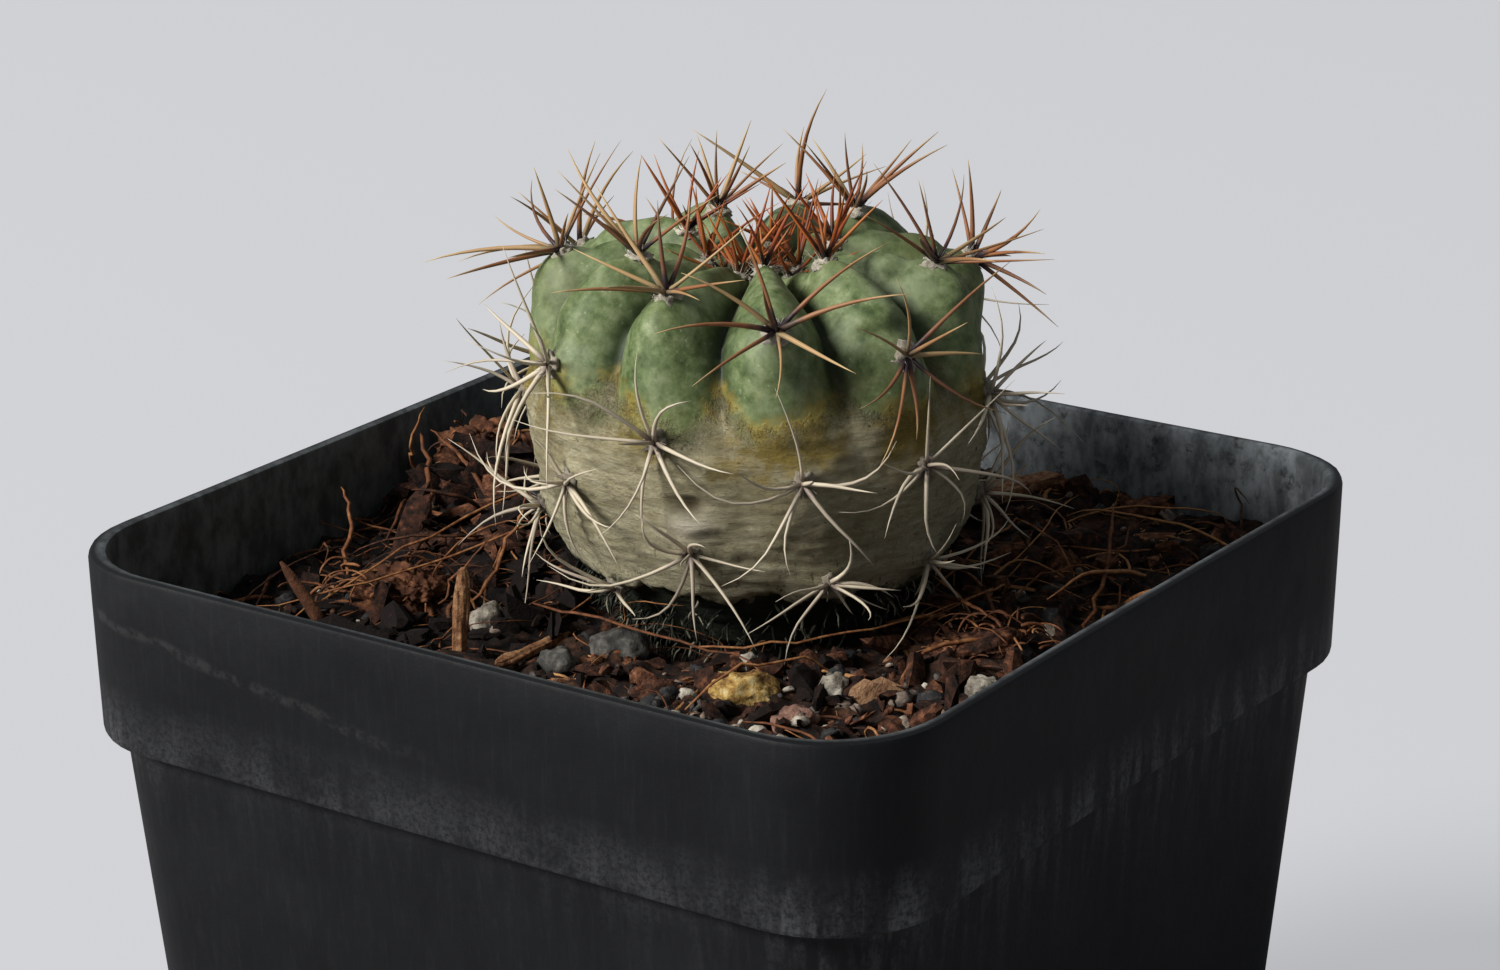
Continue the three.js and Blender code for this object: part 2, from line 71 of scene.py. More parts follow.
# Cactus: where its stem stands, how big it is and how its ribs run.
STEM = Vector((2.2 * MM, 0.8 * MM, 59 * MM))
STEM_RADIUS = 16.4 * MM
STEM_HEIGHT = 26 * MM
RIB_COUNT = 11
RIB_START = math.radians(-51)
RIB_TWIST = math.radians(17) * 1.2
GROOVE_DEPTH = 3.2 * MM
STEM_SHARE = 0.86
FIRST_AREOLES = (0.138, 0.198, 0.077, 0.145, 0.249, 0.111, 0.208, 0.165, 0.097, 0.242, 0.075)
OUTLINE = (
    (0, 0.9), (0.183, 0.923), (0.366, 0.977), (0.518, 1), (0.671, 0.996), (0.793, 0.973),
    (0.896, 0.931), (0.963, 0.865), (0.991, 0.777), (1, 0.673), (1, 0.577), (0.991, 0.462),
    (0.957, 0.346), (0.902, 0.231), (0.805, 0.115), (0.659, 0),
)
SCAR_BEARING = math.radians(-73)
SCAR_HEIGHT = 10.4 * MM
ROOTSTOCK = ((0.56, -0.06), (0.44, -0.12), (0.3, -0.2), (0.15, -0.3))


# ------------------------------------------------------------------ small helpers

def smooth(low, high, value):
    """0 below low, 1 above high and a soft ramp between."""
    t = np.clip((np.asarray(value, float) - low) / (high - low), 0, 1)
    return t * t * (3 - 2 * t)


def deselect():
    if bpy.context.object and bpy.context.object.mode != "OBJECT":
        bpy.ops.object.mode_set(mode="OBJECT")
    bpy.ops.object.select_all(action="DESELECT")


def activate(obj):
    deselect()
    obj.select_set(True)
    bpy.context.view_layer.objects.active = obj


def coordinates(mesh):
    co = np.empty(len(mesh.vertices) * 3)
    mesh.vertices.foreach_get("co", co)
    return co.reshape(-1, 3)


def set_coordinates(mesh, co):
    mesh.vertices.foreach_set("co", np.asarray(co, float).ravel())
    mesh.update()


def point_value(mesh, name, values):
    """A number for each point that a material reads by name."""
    layer = mesh.attributes.get(name) or mesh.attributes.new(name, "FLOAT", "POINT")
    values = np.broadcast_to(np.asarray(values, float), (len(mesh.vertices),))
    layer.data.foreach_set("value", np.ascontiguousarray(values))


def edit_all():
    """Into edit mode with everything selected."""
    bpy.ops.object.mode_set(mode="EDIT")
    bpy.ops.mesh.select_all(action="SELECT")


def end_edit(outward=False):
    """Back to object mode, if wanted with every face turned outwards."""
    if outward:
        bpy.ops.mesh.select_all(action="SELECT")
        bpy.ops.mesh.normals_make_consistent(inside=False)
    bpy.ops.object.mode_set(mode="OBJECT")


def settle(obj):
    """Puts the object's place into its mesh and shades it smooth."""
    activate(obj)
    bpy.ops.object.transform_apply(location=True, rotation=True, scale=True)
    bpy.ops.object.shade_smooth()
    return obj


def apply_modifier(obj, kind, **settings):
    activate(obj)
    modifier = obj.modifiers.new(kind.lower(), kind)
    for key, value in settings.items():
        setattr(modifier, key, value)
    bpy.ops.object.modifier_apply(modifier=modifier.name)


def finished(obj, name, material, slot, *nodes):
    """Names a piece, gives it its finish, hangs it under the root body and hides the solids it
    stands for.
    """
    obj.name = name
    obj.data.name = name
    obj.data.materials.clear()
    obj.data.materials.append(material)
    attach(obj, "root")
    if nodes:
        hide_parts(*nodes)
    return obj


def joined(objects, name):
    """Several copies as one piece."""
    deselect()
    for obj in objects:
        obj.select_set(True)
    bpy.context.view_layer.objects.active = objects[0]
    bpy.ops.object.join()
    objects[0].name = name
    return objects[0]


def heap(objects, name, material, slot, *nodes):
    """Many copies joined as one finished piece."""
    return finished(settle(joined(objects, name)), name, material, slot, *nodes)


def copy_of(template):
    """A copy with its own mesh."""
    obj = template.copy()
    obj.data = template.data.copy()
    bpy.context.scene.collection.objects.link(obj)
    return obj


def turned(direction, up=(0, 0, 1)):
    """A frame with Z along the direction."""
    z = Vector(direction).normalized()
    x = Vector(up).cross(z)
    if x.length < 1e-4:
        x = Vector((1, 0, 0)).cross(z)
    x.normalize()
    return np.array(Matrix((x, z.cross(x), z)))


def random_turn():
    return rng.uniform(0, 2 * math.pi)


def random_step(x, y, z):
    """A random vector that strays by its own amount along each axis."""
    return Vector((rng.gauss(0, x), rng.gauss(0, y), rng.gauss(0, z)))


def random_aim(side, low, high):
    """A random vector up to a length sideways and between two heights."""
    return Vector((rng.uniform(-side, side), rng.uniform(-side, side), rng.uniform(low, high)))


def from_axis(x, y):
    """How far a place is from the stem's axis."""
    return math.hypot(x - STEM.x, y - STEM.y)


# ------------------------------------------------------------------ node helpers

def node(tree, kind, **values):
    """A shader node with its settings and its unlinked inputs."""
    made = tree.nodes.new("ShaderNode" + kind)
    for key, value in values.items():
        name = key.replace("_", " ")
        if name in made.inputs:
            made.inputs[name].default_value = value
        else:
            setattr(made, key, value)
    return made


def link(tree, source, target):
    tree.links.new(source, target)
    return target


def maths(tree, operation, first, second=0.0, third=None):
    """The result of one sum of sockets or numbers."""
    made = node(tree, "Math", operation=operation)
    for socket, value in zip(made.inputs, (first, second, third)):
        if value is None:
            continue
        if hasattr(value, "is_linked"):
            tree.links.new(value, socket)
        else:
            socket.default_value = value
    return made.outputs[0]


def times(tree, first, second):
    return maths(tree, "MULTIPLY", first, second)


def ramp(tree, value, *stops):
    """Colours along a value: each stop is a place and a colour."""
    made = node(tree, "ValToRGB")
    elements = made.color_ramp.elements
    while len(elements) < len(stops):
        elements.new(0.5)
    for element, (stop, colour) in zip(elements, stops):
        element.position = stop
        element.color = (*colour, 1)
    tree.links.new(value, made.inputs["Fac"])
    return made.outputs["Color"]


def span(tree, value, low, high, new_low=0.0, new_high=1.0):
    """A value moved from one range to another, softly."""
    made = node(tree, "MapRange", interpolation_type="SMOOTHSTEP")
    tree.links.new(value, made.inputs["Value"])
    ends = {"From Min": low, "From Max": high, "To Min": new_low, "To Max": new_high}
    for name, number in ends.items():
        made.inputs[name].default_value = number
    return made.outputs["Result"]


def blended(tree, mask, first, second, mode="MIX"):
    """Two colours mixed by a mask."""
    made = node(tree, "Mix", data_type="RGBA", blend_type=mode)
    tree.links.new(mask, made.inputs["Factor"])
    colour_inputs = [s for s in made.inputs if s.type == "RGBA"]
    for socket, value in zip(colour_inputs, (first, second)):
        if hasattr(value, "is_linked"):
            tree.links.new(value, socket)
        else:
            socket.default_value = (*value, 1)
    return [s for s in made.outputs if s.type == "RGBA"][0]


def attribute(tree, name):
    return node(tree, "Attribute", attribute_name=name).outputs["Fac"]


def place(tree, stretch=(1, 1, 1)):
    """The point on the piece, in metres, stretched along its axes."""
    mapping = node(tree, "Mapping")
    mapping.inputs["Scale"].default_value = stretch
    link(tree, node(tree, "TexCoord").outputs["Object"], mapping.inputs["Vector"])
    return mapping.outputs["Vector"]


def cloudy(tree, size, detail=4.0, rough=0.55, stretch=(1, 1, 1)):
    """Soft noise whose lumps are about size metres across."""
    made = node(tree, "TexNoise", Scale=1 / size, Detail=detail, Roughness=rough)
    link(tree, place(tree, stretch), made.inputs["Vector"])
    return made.outputs["Fac"]


def clouds(tree, size, low, high, new_low=0.0, new_high=1.0, *look):
    """Soft noise, moved from one range to another; look is its detail, roughness and stretch."""
    return span(tree, cloudy(tree, size, *look), low, high, new_low, new_high)


def new_group(name, inputs, outputs):
    tree = bpy.data.node_groups.new(name, "ShaderNodeTree")
    for title, value in inputs:
        socket = tree.interface.new_socket(title, in_out="INPUT", socket_type="NodeSocketFloat")
        socket.default_value = value
    for title in outputs:
        tree.interface.new_socket(title, in_out="OUTPUT", socket_type="NodeSocketFloat")
    return tree, tree.nodes.new("NodeGroupInput").outputs, tree.nodes.new("NodeGroupOutput").inputs


def use(tree, grouped, **values):
    """A shader node group placed in a material with its own values."""
    made = tree.nodes.new("ShaderNodeGroup")
    made.node_tree = grouped
    for key, value in values.items():
        made.inputs[key.replace("_", " ")].default_value = value
    return made.outputs


def scaled_noise(tree, scale, detail, rough, stretch=(1, 1, 1)):
    """Noise whose scale comes from a socket."""
    made = node(tree, "TexNoise", Detail=detail, Roughness=rough)
    link(tree, place(tree, stretch), made.inputs["Vector"])
    link(tree, scale, made.inputs["Scale"])
    return made.outputs["Fac"]


def make_specks():
    """Scattered round specks: how many per metre, how wide in their cell and how common."""
    sizes = (("Density", 900.0), ("Width", 0.3), ("Share", 0.4))
    tree, given, out = new_group("specks", sizes, ("Mask",))
    cells = node(tree, "TexVoronoi", Randomness=1.0)
    uneven = node(tree, "TexNoise", Scale=2200.0, Detail=2.0)
    link(tree, place(tree), uneven.inputs["Vector"])
    shifted = node(tree, "VectorMath", operation="MULTIPLY_ADD")
    link(tree, uneven.outputs["Color"], shifted.inputs[0])
    shifted.inputs[1].default_value = (0.0006, 0.0006, 0.0006)
    link(tree, place(tree), shifted.inputs[2])
    link(tree, shifted.outputs[0], cells.inputs["Vector"])
    link(tree, given["Density"], cells.inputs["Scale"])
    chosen = maths(tree, "LESS_THAN", node_channel(tree, cells.outputs["Color"]), given["Share"])
    size = maths(tree, "MULTIPLY_ADD", node_channel(tree, cells.outputs["Color"], 1), 0.85, 0.25)
    width = times(tree, given["Width"], size)
    near = maths(tree, "SUBTRACT", width, cells.outputs["Distance"])
    sharp = times(tree, near, 9.0)
    clamped = node(tree, "Clamp")
    link(tree, sharp, clamped.inputs["Value"])
    link(tree, times(tree, clamped.outputs[0], chosen), out["Mask"])
    return tree


def node_channel(tree, colour, index=0):
    made = node(tree, "SeparateColor")
    link(tree, colour, made.inputs[0])
    return made.outputs[index]


def make_dust():
    """Uneven dust and scuffs: the size of its clouds, how much there is, and fine streaks."""
    sizes = (("Clouds", 90.0), ("Cover", 0.5), ("Grit", 2500.0))
    tree, given, out = new_group("dust", sizes, ("Mask",))
    billows = scaled_noise(tree, given["Clouds"], 5.0, 0.62)
    grit = scaled_noise(tree, given["Grit"], 2.0, 0.7, (1, 1, 0.6))
    edge = maths(tree, "SUBTRACT", 1.0, given["Cover"])
    over = maths(tree, "SUBTRACT", billows, edge)
    soft = times(tree, over, 3.2)
    mixed = times(tree, soft, maths(tree, "ADD", grit, 0.35))
    clamped = node(tree, "Clamp")
    link(tree, mixed, clamped.inputs["Value"])
    link(tree, clamped.outputs[0], out["Mask"])
    return tree


def make_grain():
    """Rough natural grain: lump size, fineness, and a value and height that vary with it."""
    sizes = (("Lumps", 700.0), ("Fine", 4000.0))
    tree, given, out = new_group("grain", sizes, ("Value", "Height"))
    lumps = scaled_noise(tree, given["Lumps"], 6.0, 0.65)
    fine = scaled_noise(tree, given["Fine"], 3.0, 0.7)
    link(tree, lumps, out["Value"])
    link(tree, maths(tree, "ADD", lumps, times(tree, fine, 0.35)), out["Height"])
    return tree


SPECKS = make_specks()
DUST = make_dust()
GRAIN = make_grain()


def new_material(name, roughness=0.6, **sockets):
    """A material with one Principled shader, its tree and that shader's inputs."""
    made = bpy.data.materials.new(name)
    made.use_nodes = True
    tree = made.node_tree
    shader = tree.nodes["Principled BSDF"]
    shader.inputs["Roughness"].default_value = roughness
    for key, value in sockets.items():
        shader.inputs[key.replace("_", " ")].default_value = value
    return made, tree, shader.inputs


def bump(tree, height, strength, depth, target, normal=None):
    made = node(tree, "Bump", Strength=strength, Distance=depth)
    link(tree, height, made.inputs["Height"])
    if normal is not None:
        link(tree, normal, made.inputs["Normal"])
    if target is not None:
        link(tree, made.outputs["Normal"], target)
    return made.outputs["Normal"]


# ------------------------------------------------------------------ finishes

def long_scratch(tree):
    """A faint scratch that runs slowly down the band of the left face."""
    split = node(tree, "SeparateXYZ")
    link(tree, place(tree), split.inputs[0])
    x, y, z = split.outputs
    wander = times(tree, cloudy(tree, 8 * MM, 3), 2.2 * MM)
    line = maths(tree, "ADD", maths(tree, "MULTIPLY_ADD", x, 0.15, z), wander)
    off = maths(tree, "ABSOLUTE", maths(tree, "SUBTRACT", line, RIM_TOP - 6.9 * MM))
    thin = span(tree, off, 0.6 * MM, 0.1 * MM, 0, 0.24)
    face = times(tree, span(tree, y, -33.5 * MM, -34 * MM), span(tree, x, 2 * MM, -8 * MM))
    broken = clouds(tree, 1.2 * MM, 0.4, 0.6, 0, 1, 5, 0.7)
    return times(tree, times(tree, thin, face), broken)


def pot_plastic():
    """Charcoal plastic with dust, scuffs, a dusty line under the band and dried water inside, with
    painted light: the deposit is painted paler on the lit back wall inside.
    """
    made, tree, shader = new_material("charcoal plastic", 0.5, Specular_IOR_Level=0.22)
    dust = use(tree, DUST, Clouds=60.0, Cover=0.5, Grit=1800.0)["Mask"]
    scuffs = use(tree, DUST, Clouds=230.0, Cover=0.34, Grit=5200.0)["Mask"]
    inner = attribute(tree, "inner")
    line = attribute(tree, "band_line")
    streaks = cloudy(tree, 1.5 * MM, 6, 0.62, (1, 1, 0.16))
    blotches = cloudy(tree, 9 * MM, 5, 0.6)
    plastic = ramp(
        tree, blotches, (0.3, (0.0052, 0.0057, 0.0064)), (0.75, (0.0088, 0.0096, 0.0106)),
    )
    dusty = blended(tree, times(tree, dust, 0.055), plastic, (0.1, 0.104, 0.11))
    scuffed = blended(tree, times(tree, scuffs, 0.1), dusty, (0.12, 0.124, 0.13))
    brushed = clouds(tree, 0.5 * MM, 0.48, 0.8, 0, 0.05, 4, 0.7, (1, 1, 0.1))
    rubbed = blended(tree, brushed, scuffed, (0.1, 0.103, 0.108))
    grainy = clouds(tree, 0.4 * MM, 0.36, 0.6, 0.2, 1, 5, 0.75)
    uneven = clouds(tree, 4 * MM, 0.35, 0.6, 0.25, 1, 4, 0.6)
    dusty_line = times(tree, times(tree, line, grainy), uneven)
    lined = blended(tree, times(tree, dusty_line, 0.85), rubbed, (0.21, 0.215, 0.22))
    hanging = times(tree, attribute(tree, "drips"), span(tree, streaks, 0.42, 0.66, 0.0, 1.0))
    dripped = blended(tree, times(tree, hanging, grainy), lined, (0.17, 0.175, 0.18))
    dried = cloudy(tree, 2.4 * MM, 7, 0.68, (1, 1, 0.5))
    # Painted light: through the inner share, the dried water shows most on the back wall inside,
    # where light falls.
    deposit_and_lit_wall = times(tree, inner, span(tree, dried, 0.36, 0.64, 0.3, 1.0))
    washed_and_lit = blended(tree, deposit_and_lit_wall, dripped, (0.27, 0.295, 0.31))
    stain = times(tree, inner, clouds(tree, 1.7 * MM, 0.52, 0.68, 0, 1, 6, 0.72))
    stained = blended(tree, times(tree, stain, 0.75), washed_and_lit, (0.014, 0.013, 0.011))
    lip = times(tree, attribute(tree, "lip"), span(tree, scuffs, 0, 0.6, 0.45, 1.0))
    worn = blended(tree, lip, stained, (0.24, 0.255, 0.26))
    link(tree, blended(tree, long_scratch(tree), worn, (0.075, 0.075, 0.074)), shader["Base Color"])
    rougher = maths(tree, "ADD", times(tree, dust, 0.22), 0.46)
    link(tree, maths(tree, "ADD", rougher, times(tree, inner, 0.2)), shader["Roughness"])
    ripple = bump(tree, cloudy(tree, 7 * MM, 3), 0.35, 0.5 * MM, None)
    bump(tree, cloudy(tree, 0.35 * MM, 4, 0.7), 0.16, 0.12 * MM, shader["Normal"], ripple)
    return made


def green_skin(tree, groove, mottle):
    """Mottled waxy green with a pale bloom and flecks, and painted shade in the grooves."""
    veil = cloudy(tree, 3.8 * MM, 5, 0.6)
    green = ramp(
        tree, mottle,
        (0.32, (0.046, 0.075, 0.022)), (0.5, (0.13, 0.175, 0.068)), (0.7, (0.27, 0.315, 0.165)),
    )
    bloom = blended(tree, span(tree, veil, 0.45, 0.7, 0, 0.6), green, (0.27, 0.32, 0.18))
    pale = use(tree, SPECKS, Density=2300.0, Width=0.3, Share=0.55)["Mask"]
    fleck = times(tree, pale, clouds(tree, 2.6 * MM, 0.4, 0.62, 0, 0.42))
    flecked = blended(tree, fleck, bloom, (0.5, 0.53, 0.39))
    olive = blended(tree, clouds(tree, 6 * MM, 0.5, 0.7, 0, 0.5), flecked, (0.12, 0.13, 0.045))
    # Painted shade: the grooves are darkened towards a near black green.
    return blended(tree, span(tree, groove, 0.36, 0.95, 0, 0.92), olive, (0.014, 0.026, 0.008))


def corky_skin(tree, level, wrinkles, patches, grime):
    """Beige wrinkled cork, weathered and dotted, with a scar, painted shade in the pit above it and
    upright cracks low down.
    """
    cork = ramp(
        tree, wrinkles,
        (0.3, (0.38, 0.325, 0.185)), (0.5, (0.53, 0.475, 0.3)), (0.7, (0.7, 0.655, 0.46)),
    )
    weathered = blended(tree, span(tree, patches, 0.42, 0.62, 0, 0.6), cork, (0.27, 0.225, 0.11))
    # Paler towards the bottom of the cork.
    paler_low_cork = blended(tree, span(tree, level, 12.0, 3.0, 0, 0.3), weathered, (0.46, 0.45, 0.34))
    grimy = blended(tree, span(tree, grime, 0.56, 0.72, 0, 0.65), paler_low_cork, (0.1, 0.08, 0.045))
    dots = use(tree, SPECKS, Density=1150.0, Width=0.2, Share=0.2)["Mask"]
    dotted = blended(tree, times(tree, dots, 0.85), grimy, (0.04, 0.026, 0.015))
    scar = times(tree, attribute(tree, "scar"), 0.95)
    scarred = blended(tree, scar, dotted, (0.76, 0.7, 0.54))
    # Painted shade: the pit above the scar is darkened.
    pitted = blended(tree, attribute(tree, "hollow"), scarred, (0.07, 0.05, 0.018))
    cracks = clouds(tree, 0.9 * MM, 0.56, 0.66, 0, 1, 6, 0.75, (2.2, 2.2, 0.35))
    cracked = times(tree, cracks, span(tree, level, 12.0, 5.0))
    return blended(tree, times(tree, cracked, 0.8), pitted, (0.035, 0.028, 0.016))


def cactus_skin():
    """Green over the shoulder, a yellowing ragged edge, cork below it and a dark foot."""
    made, tree, shader = new_material("cactus skin", 0.58, Specular_IOR_Level=0.3)
    groove = attribute(tree, "groove")
    level = attribute(tree, "level")
    mottle = cloudy(tree, 1.3 * MM, 6, 0.66)
    wrinkles = cloudy(tree, 1.3 * MM, 8, 0.74, (1, 1, 3.4))
    patches = cloudy(tree, 5.5 * MM, 6, 0.66)
    grime = cloudy(tree, 1.1 * MM, 6, 0.72, (1, 1, 1.8))
    green = green_skin(tree, groove, mottle)
    cork = corky_skin(tree, level, wrinkles, patches, grime)

    ragged = maths(tree, "ADD", level, times(tree, cloudy(tree, 3.2 * MM, 7, 0.72), 8.0))
    ragged = maths(tree, "ADD", ragged, times(tree, groove, -1.6))
    to_cork = span(tree, ragged, 22.2, 19.2)
    yellow_edge = times(tree, span(tree, ragged, 23.6, 21.2), span(tree, ragged, 17.8, 19.8))
    yellowing = times(tree, yellow_edge, span(tree, patches, 0.42, 0.6, 0.12, 0.85))
    tinted = blended(tree, yellowing, blended(tree, to_cork, green, cork), (0.34, 0.24, 0.035))
    foot = maths(tree, "ADD", level, times(tree, cloudy(tree, 2.4 * MM, 7, 0.74), 6.0))
    # Darker towards the foot of the stem, where it meets the mix.
    dark_foot = ramp(tree, grime, (0.35, (0.006, 0.009, 0.005)), (0.7, (0.045, 0.055, 0.03)))
    link(tree, blended(tree, span(tree, foot, 7.6, 6.5), tinted, dark_foot), shader["Base Color"])
    link(tree, span(tree, ragged, 21.6, 19.0, 0.56, 0.92), shader["Roughness"])
    folds = bump(tree, times(tree, to_cork, wrinkles), 1.0, 0.6 * MM, None)
    roughened = bump(tree, times(tree, to_cork, grime), 0.9, 0.3 * MM, None, folds)
    bump(tree, mottle, 0.35, 0.14 * MM, shader["Normal"], roughened)
    return made


def spine_finish(name, foot, middle, tip, foot_end=0.16):
    """A spine that is dark where it leaves the areole and turns paler towards its tip."""
    made, tree, shader = new_material(name, 0.5, Specular_IOR_Level=0.4)
    along = attribute(tree, "along")
    shade = attribute(tree, "shade")
    streaky = maths(tree, "ADD", along, times(tree, cloudy(tree, 0.9 * MM, 4, 0.6), 0.22))
    moved = maths(tree, "SUBTRACT", streaky, 0.11)
    colour = ramp(
        tree, moved,
        (0.0, foot), (foot_end, foot), (foot_end + 0.13, middle), (0.62, middle), (1.0, tip),
    )
    faded = blended(tree, span(tree, shade, 0.45, 0.95, 0, 0.6), colour, tip)
    dimmed = blended(tree, span(tree, shade, 0.35, 0.0, 0, 0.5), faded, foot)
    link(tree, dimmed, shader["Base Color"])
    bump(tree, cloudy(tree, 0.12 * MM, 3, 0.6), 0.2, 0.05 * MM, shader["Normal"])
    return made


def wool_finish():
    made, tree, shader = new_material("areole wool", 0.95, Sheen_Weight=0.4)
    grain = use(tree, GRAIN, Lumps=2600.0, Fine=9000.0)
    shade = attribute(tree, "shade")
    mixed = times(tree, grain["Value"], maths(tree, "SUBTRACT", 1.35, shade))
    tones = (0.2, (0.13, 0.1, 0.07)), (0.5, (0.33, 0.285, 0.21)), (0.8, (0.58, 0.535, 0.43))
    colour = ramp(tree, mixed, *tones)
    link(tree, colour, shader["Base Color"])
    bump(tree, grain["Height"], 0.9, 0.2 * MM, shader["Normal"])
    return made


def litter_finish(name, stops, lumps, fine, roughness=0.95, strength=0.9):
    """Loose bits of one kind: each has its own shade, with grain over it."""
    made, tree, shader = new_material(name, roughness, Specular_IOR_Level=0.25)
    grain = use(tree, GRAIN, Lumps=lumps, Fine=fine)
    shade = attribute(tree, "shade")
    vary = times(tree, maths(tree, "SUBTRACT", grain["Value"], 0.5), 1.5)
    colour = ramp(tree, maths(tree, "ADD", shade, vary), *stops)
    link(tree, colour, shader["Base Color"])
    bump(tree, grain["Height"], strength, 0.25 * MM, shader["Normal"])
    return made


POT_PLASTIC = pot_plastic()
CACTUS_SKIN = cactus_skin()
SPINE_YOUNG = spine_finish(
    "young spine", (0.02, 0.009, 0.012), (0.29, 0.06, 0.015), (0.56, 0.2, 0.045), 0.14,
)
SPINE_MID = spine_finish(
    "grown spine", (0.035, 0.022, 0.028), (0.29, 0.12, 0.05), (0.58, 0.42, 0.2), 0.12,
)
SPINE_OLD = spine_finish("old spine", (0.2, 0.15, 0.13), (0.58, 0.5, 0.37), (0.68, 0.6, 0.46), 0.03)
WOOL = wool_finish()
COIR_BED = litter_finish(
    "damp coir bed",
    ((0.25, (0.004, 0.0025, 0.002)), (0.5, (0.026, 0.012, 0.007)), (0.75, (0.09, 0.04, 0.02))),
    900.0, 5200.0,
)
BARK = litter_finish(
    "bark crumbs",
    (
        (0.2, (0.006, 0.003, 0.0022)), (0.5, (0.05, 0.019, 0.01)),
        (0.75, (0.19, 0.075, 0.036)), (1.0, (0.42, 0.24, 0.13)),
    ),
    1500.0, 6500.0, 0.95, 1.0,
)
GRIT = litter_finish(
    "mixed grit",
    (
        (0.05, (0.02, 0.02, 0.021)), (0.35, (0.085, 0.075, 0.066)),
        (0.65, (0.22, 0.16, 0.12)), (1.0, (0.5, 0.46, 0.38)),
    ),
    1900.0, 8000.0, 0.85, 0.6,
)
FIBRE = litter_finish(
    "coir fibre",
    ((0.0, (0.03, 0.012, 0.006)), (0.5, (0.17, 0.06, 0.022)), (1.0, (0.44, 0.22, 0.085))),
    1500.0, 7000.0, 0.7, 0.4,
)
DARK_ROOT = litter_finish(
    "dark rootlets",
    ((0.0, (0.004, 0.005, 0.003)), (0.6, (0.024, 0.028, 0.018)), (1.0, (0.24, 0.23, 0.17))),
    1500.0, 7000.0, 0.9, 0.4,
)
OCHRE_STONE = litter_finish(
    "ochre stone",
    (
        (0.25, (0.07, 0.035, 0.014)), (0.42, (0.3, 0.17, 0.05)),
        (0.58, (0.5, 0.33, 0.1)), (0.8, (0.68, 0.54, 0.28)),
    ),
    1500.0, 6500.0, 0.9, 1.0,
)
DARK_STONE = litter_finish(
    "dark stone",
    ((0.1, (0.014, 0.014, 0.014)), (0.5, (0.045, 0.043, 0.038)), (0.9, (0.16, 0.15, 0.13))),
    1300.0, 7000.0, 0.8, 0.7,
)
PALE_STONE = litter_finish(
    "pale stone",
    ((0.2, (0.06, 0.048, 0.036)), (0.5, (0.22, 0.195, 0.155)), (0.9, (0.52, 0.48, 0.4))),
    1300.0, 7000.0, 0.85, 0.7,
)
RED_STONE = litter_finish(
    "red stone",
    ((0.1, (0.06, 0.03, 0.022)), (0.5, (0.2, 0.105, 0.075)), (0.9, (0.42, 0.27, 0.21))),
    1300.0, 7000.0, 0.85, 0.8,
)
HUSK = litter_finish(
    "husk",
    ((0.05, (0.01, 0.0045, 0.003)), (0.5, (0.07, 0.026, 0.012)), (0.85, (0.24, 0.1, 0.045))),
    800.0, 5000.0, 0.95, 1.0,
)
SPLIT_WOOD = litter_finish(
    "split wood",
    ((0.2, (0.05, 0.02, 0.009)), (0.5, (0.22, 0.1, 0.045)), (0.85, (0.46, 0.28, 0.14))),
    1200.0, 6000.0, 0.85, 0.8,
)


# ------------------------------------------------------------------ pot

def pot_profile():
    """The wall as inset from the rim's face and height: up outside, over the rim, down inside."""
    underside = BOTTOM_INSET + FOOT_WIDTH
    floor_top = FOOT_RISE + FLOOR
    outside = [(BOTTOM_INSET, 0.7 * MM)]
    for share in (0.2, 0.4, 0.6, 0.8, 0.88, 0.92, 0.95, 0.97, 0.985):
        outside.append((BOTTOM_INSET + (BAND_STEP - BOTTOM_INSET) * share, BAND_FOOT * share))
    inside = []
    for share in (0.03, 0.25, 0.5, 0.8):
        inside.append((WALL + BAND_DRAFT * share, RIM_TOP - share * (RIM_TOP - BAND_FOOT)))
    return [
        (underside, FOOT_RISE),
        (underside - 0.3 * MM, 0),
        (BOTTOM_INSET + 0.6 * MM, 0),
        (BOTTOM_INSET + 0.2 * MM, 0.2 * MM),
        *outside,
        (BAND_STEP - 0.12 * MM, BAND_FOOT - 0.1 * MM),
        (BAND_STEP - 0.3 * MM, BAND_FOOT),
        (BAND_DRAFT + 0.35 * MM, BAND_FOOT),
        (BAND_DRAFT + 0.1 * MM, BAND_FOOT + 0.12 * MM),
        (BAND_DRAFT, BAND_FOOT + 0.4 * MM),
        (BAND_DRAFT * 0.6, BAND_FOOT + 5 * MM),
        (BAND_DRAFT * 0.2, BAND_FOOT + 10 * MM),
        (0, RIM_TOP - 0.4 * MM),
        (0.1 * MM, RIM_TOP - 0.12 * MM),
        (0.32 * MM, RIM_TOP),
        (WALL - 0.32 * MM, RIM_TOP),
        (WALL - 0.08 * MM, RIM_TOP - 0.12 * MM),
        *inside,
        (WALL + BAND_DRAFT, BAND_FOOT + WALL),
        (BAND_STEP + WALL, BAND_FOOT + WALL - 0.5 * MM),
        (BOTTOM_INSET + WALL, FLOOR),
        (underside - WALL, FLOOR),
        (underside - WALL + 0.2 * MM, floor_top),
    ]


def select_long_edges(mesh, longer_than):
    bm = bmesh.from_edit_mesh(mesh)
    for edge in bm.edges:
        edge.select_set(edge.calc_length() > longer_than)
    bmesh.update_edit_mesh(mesh)


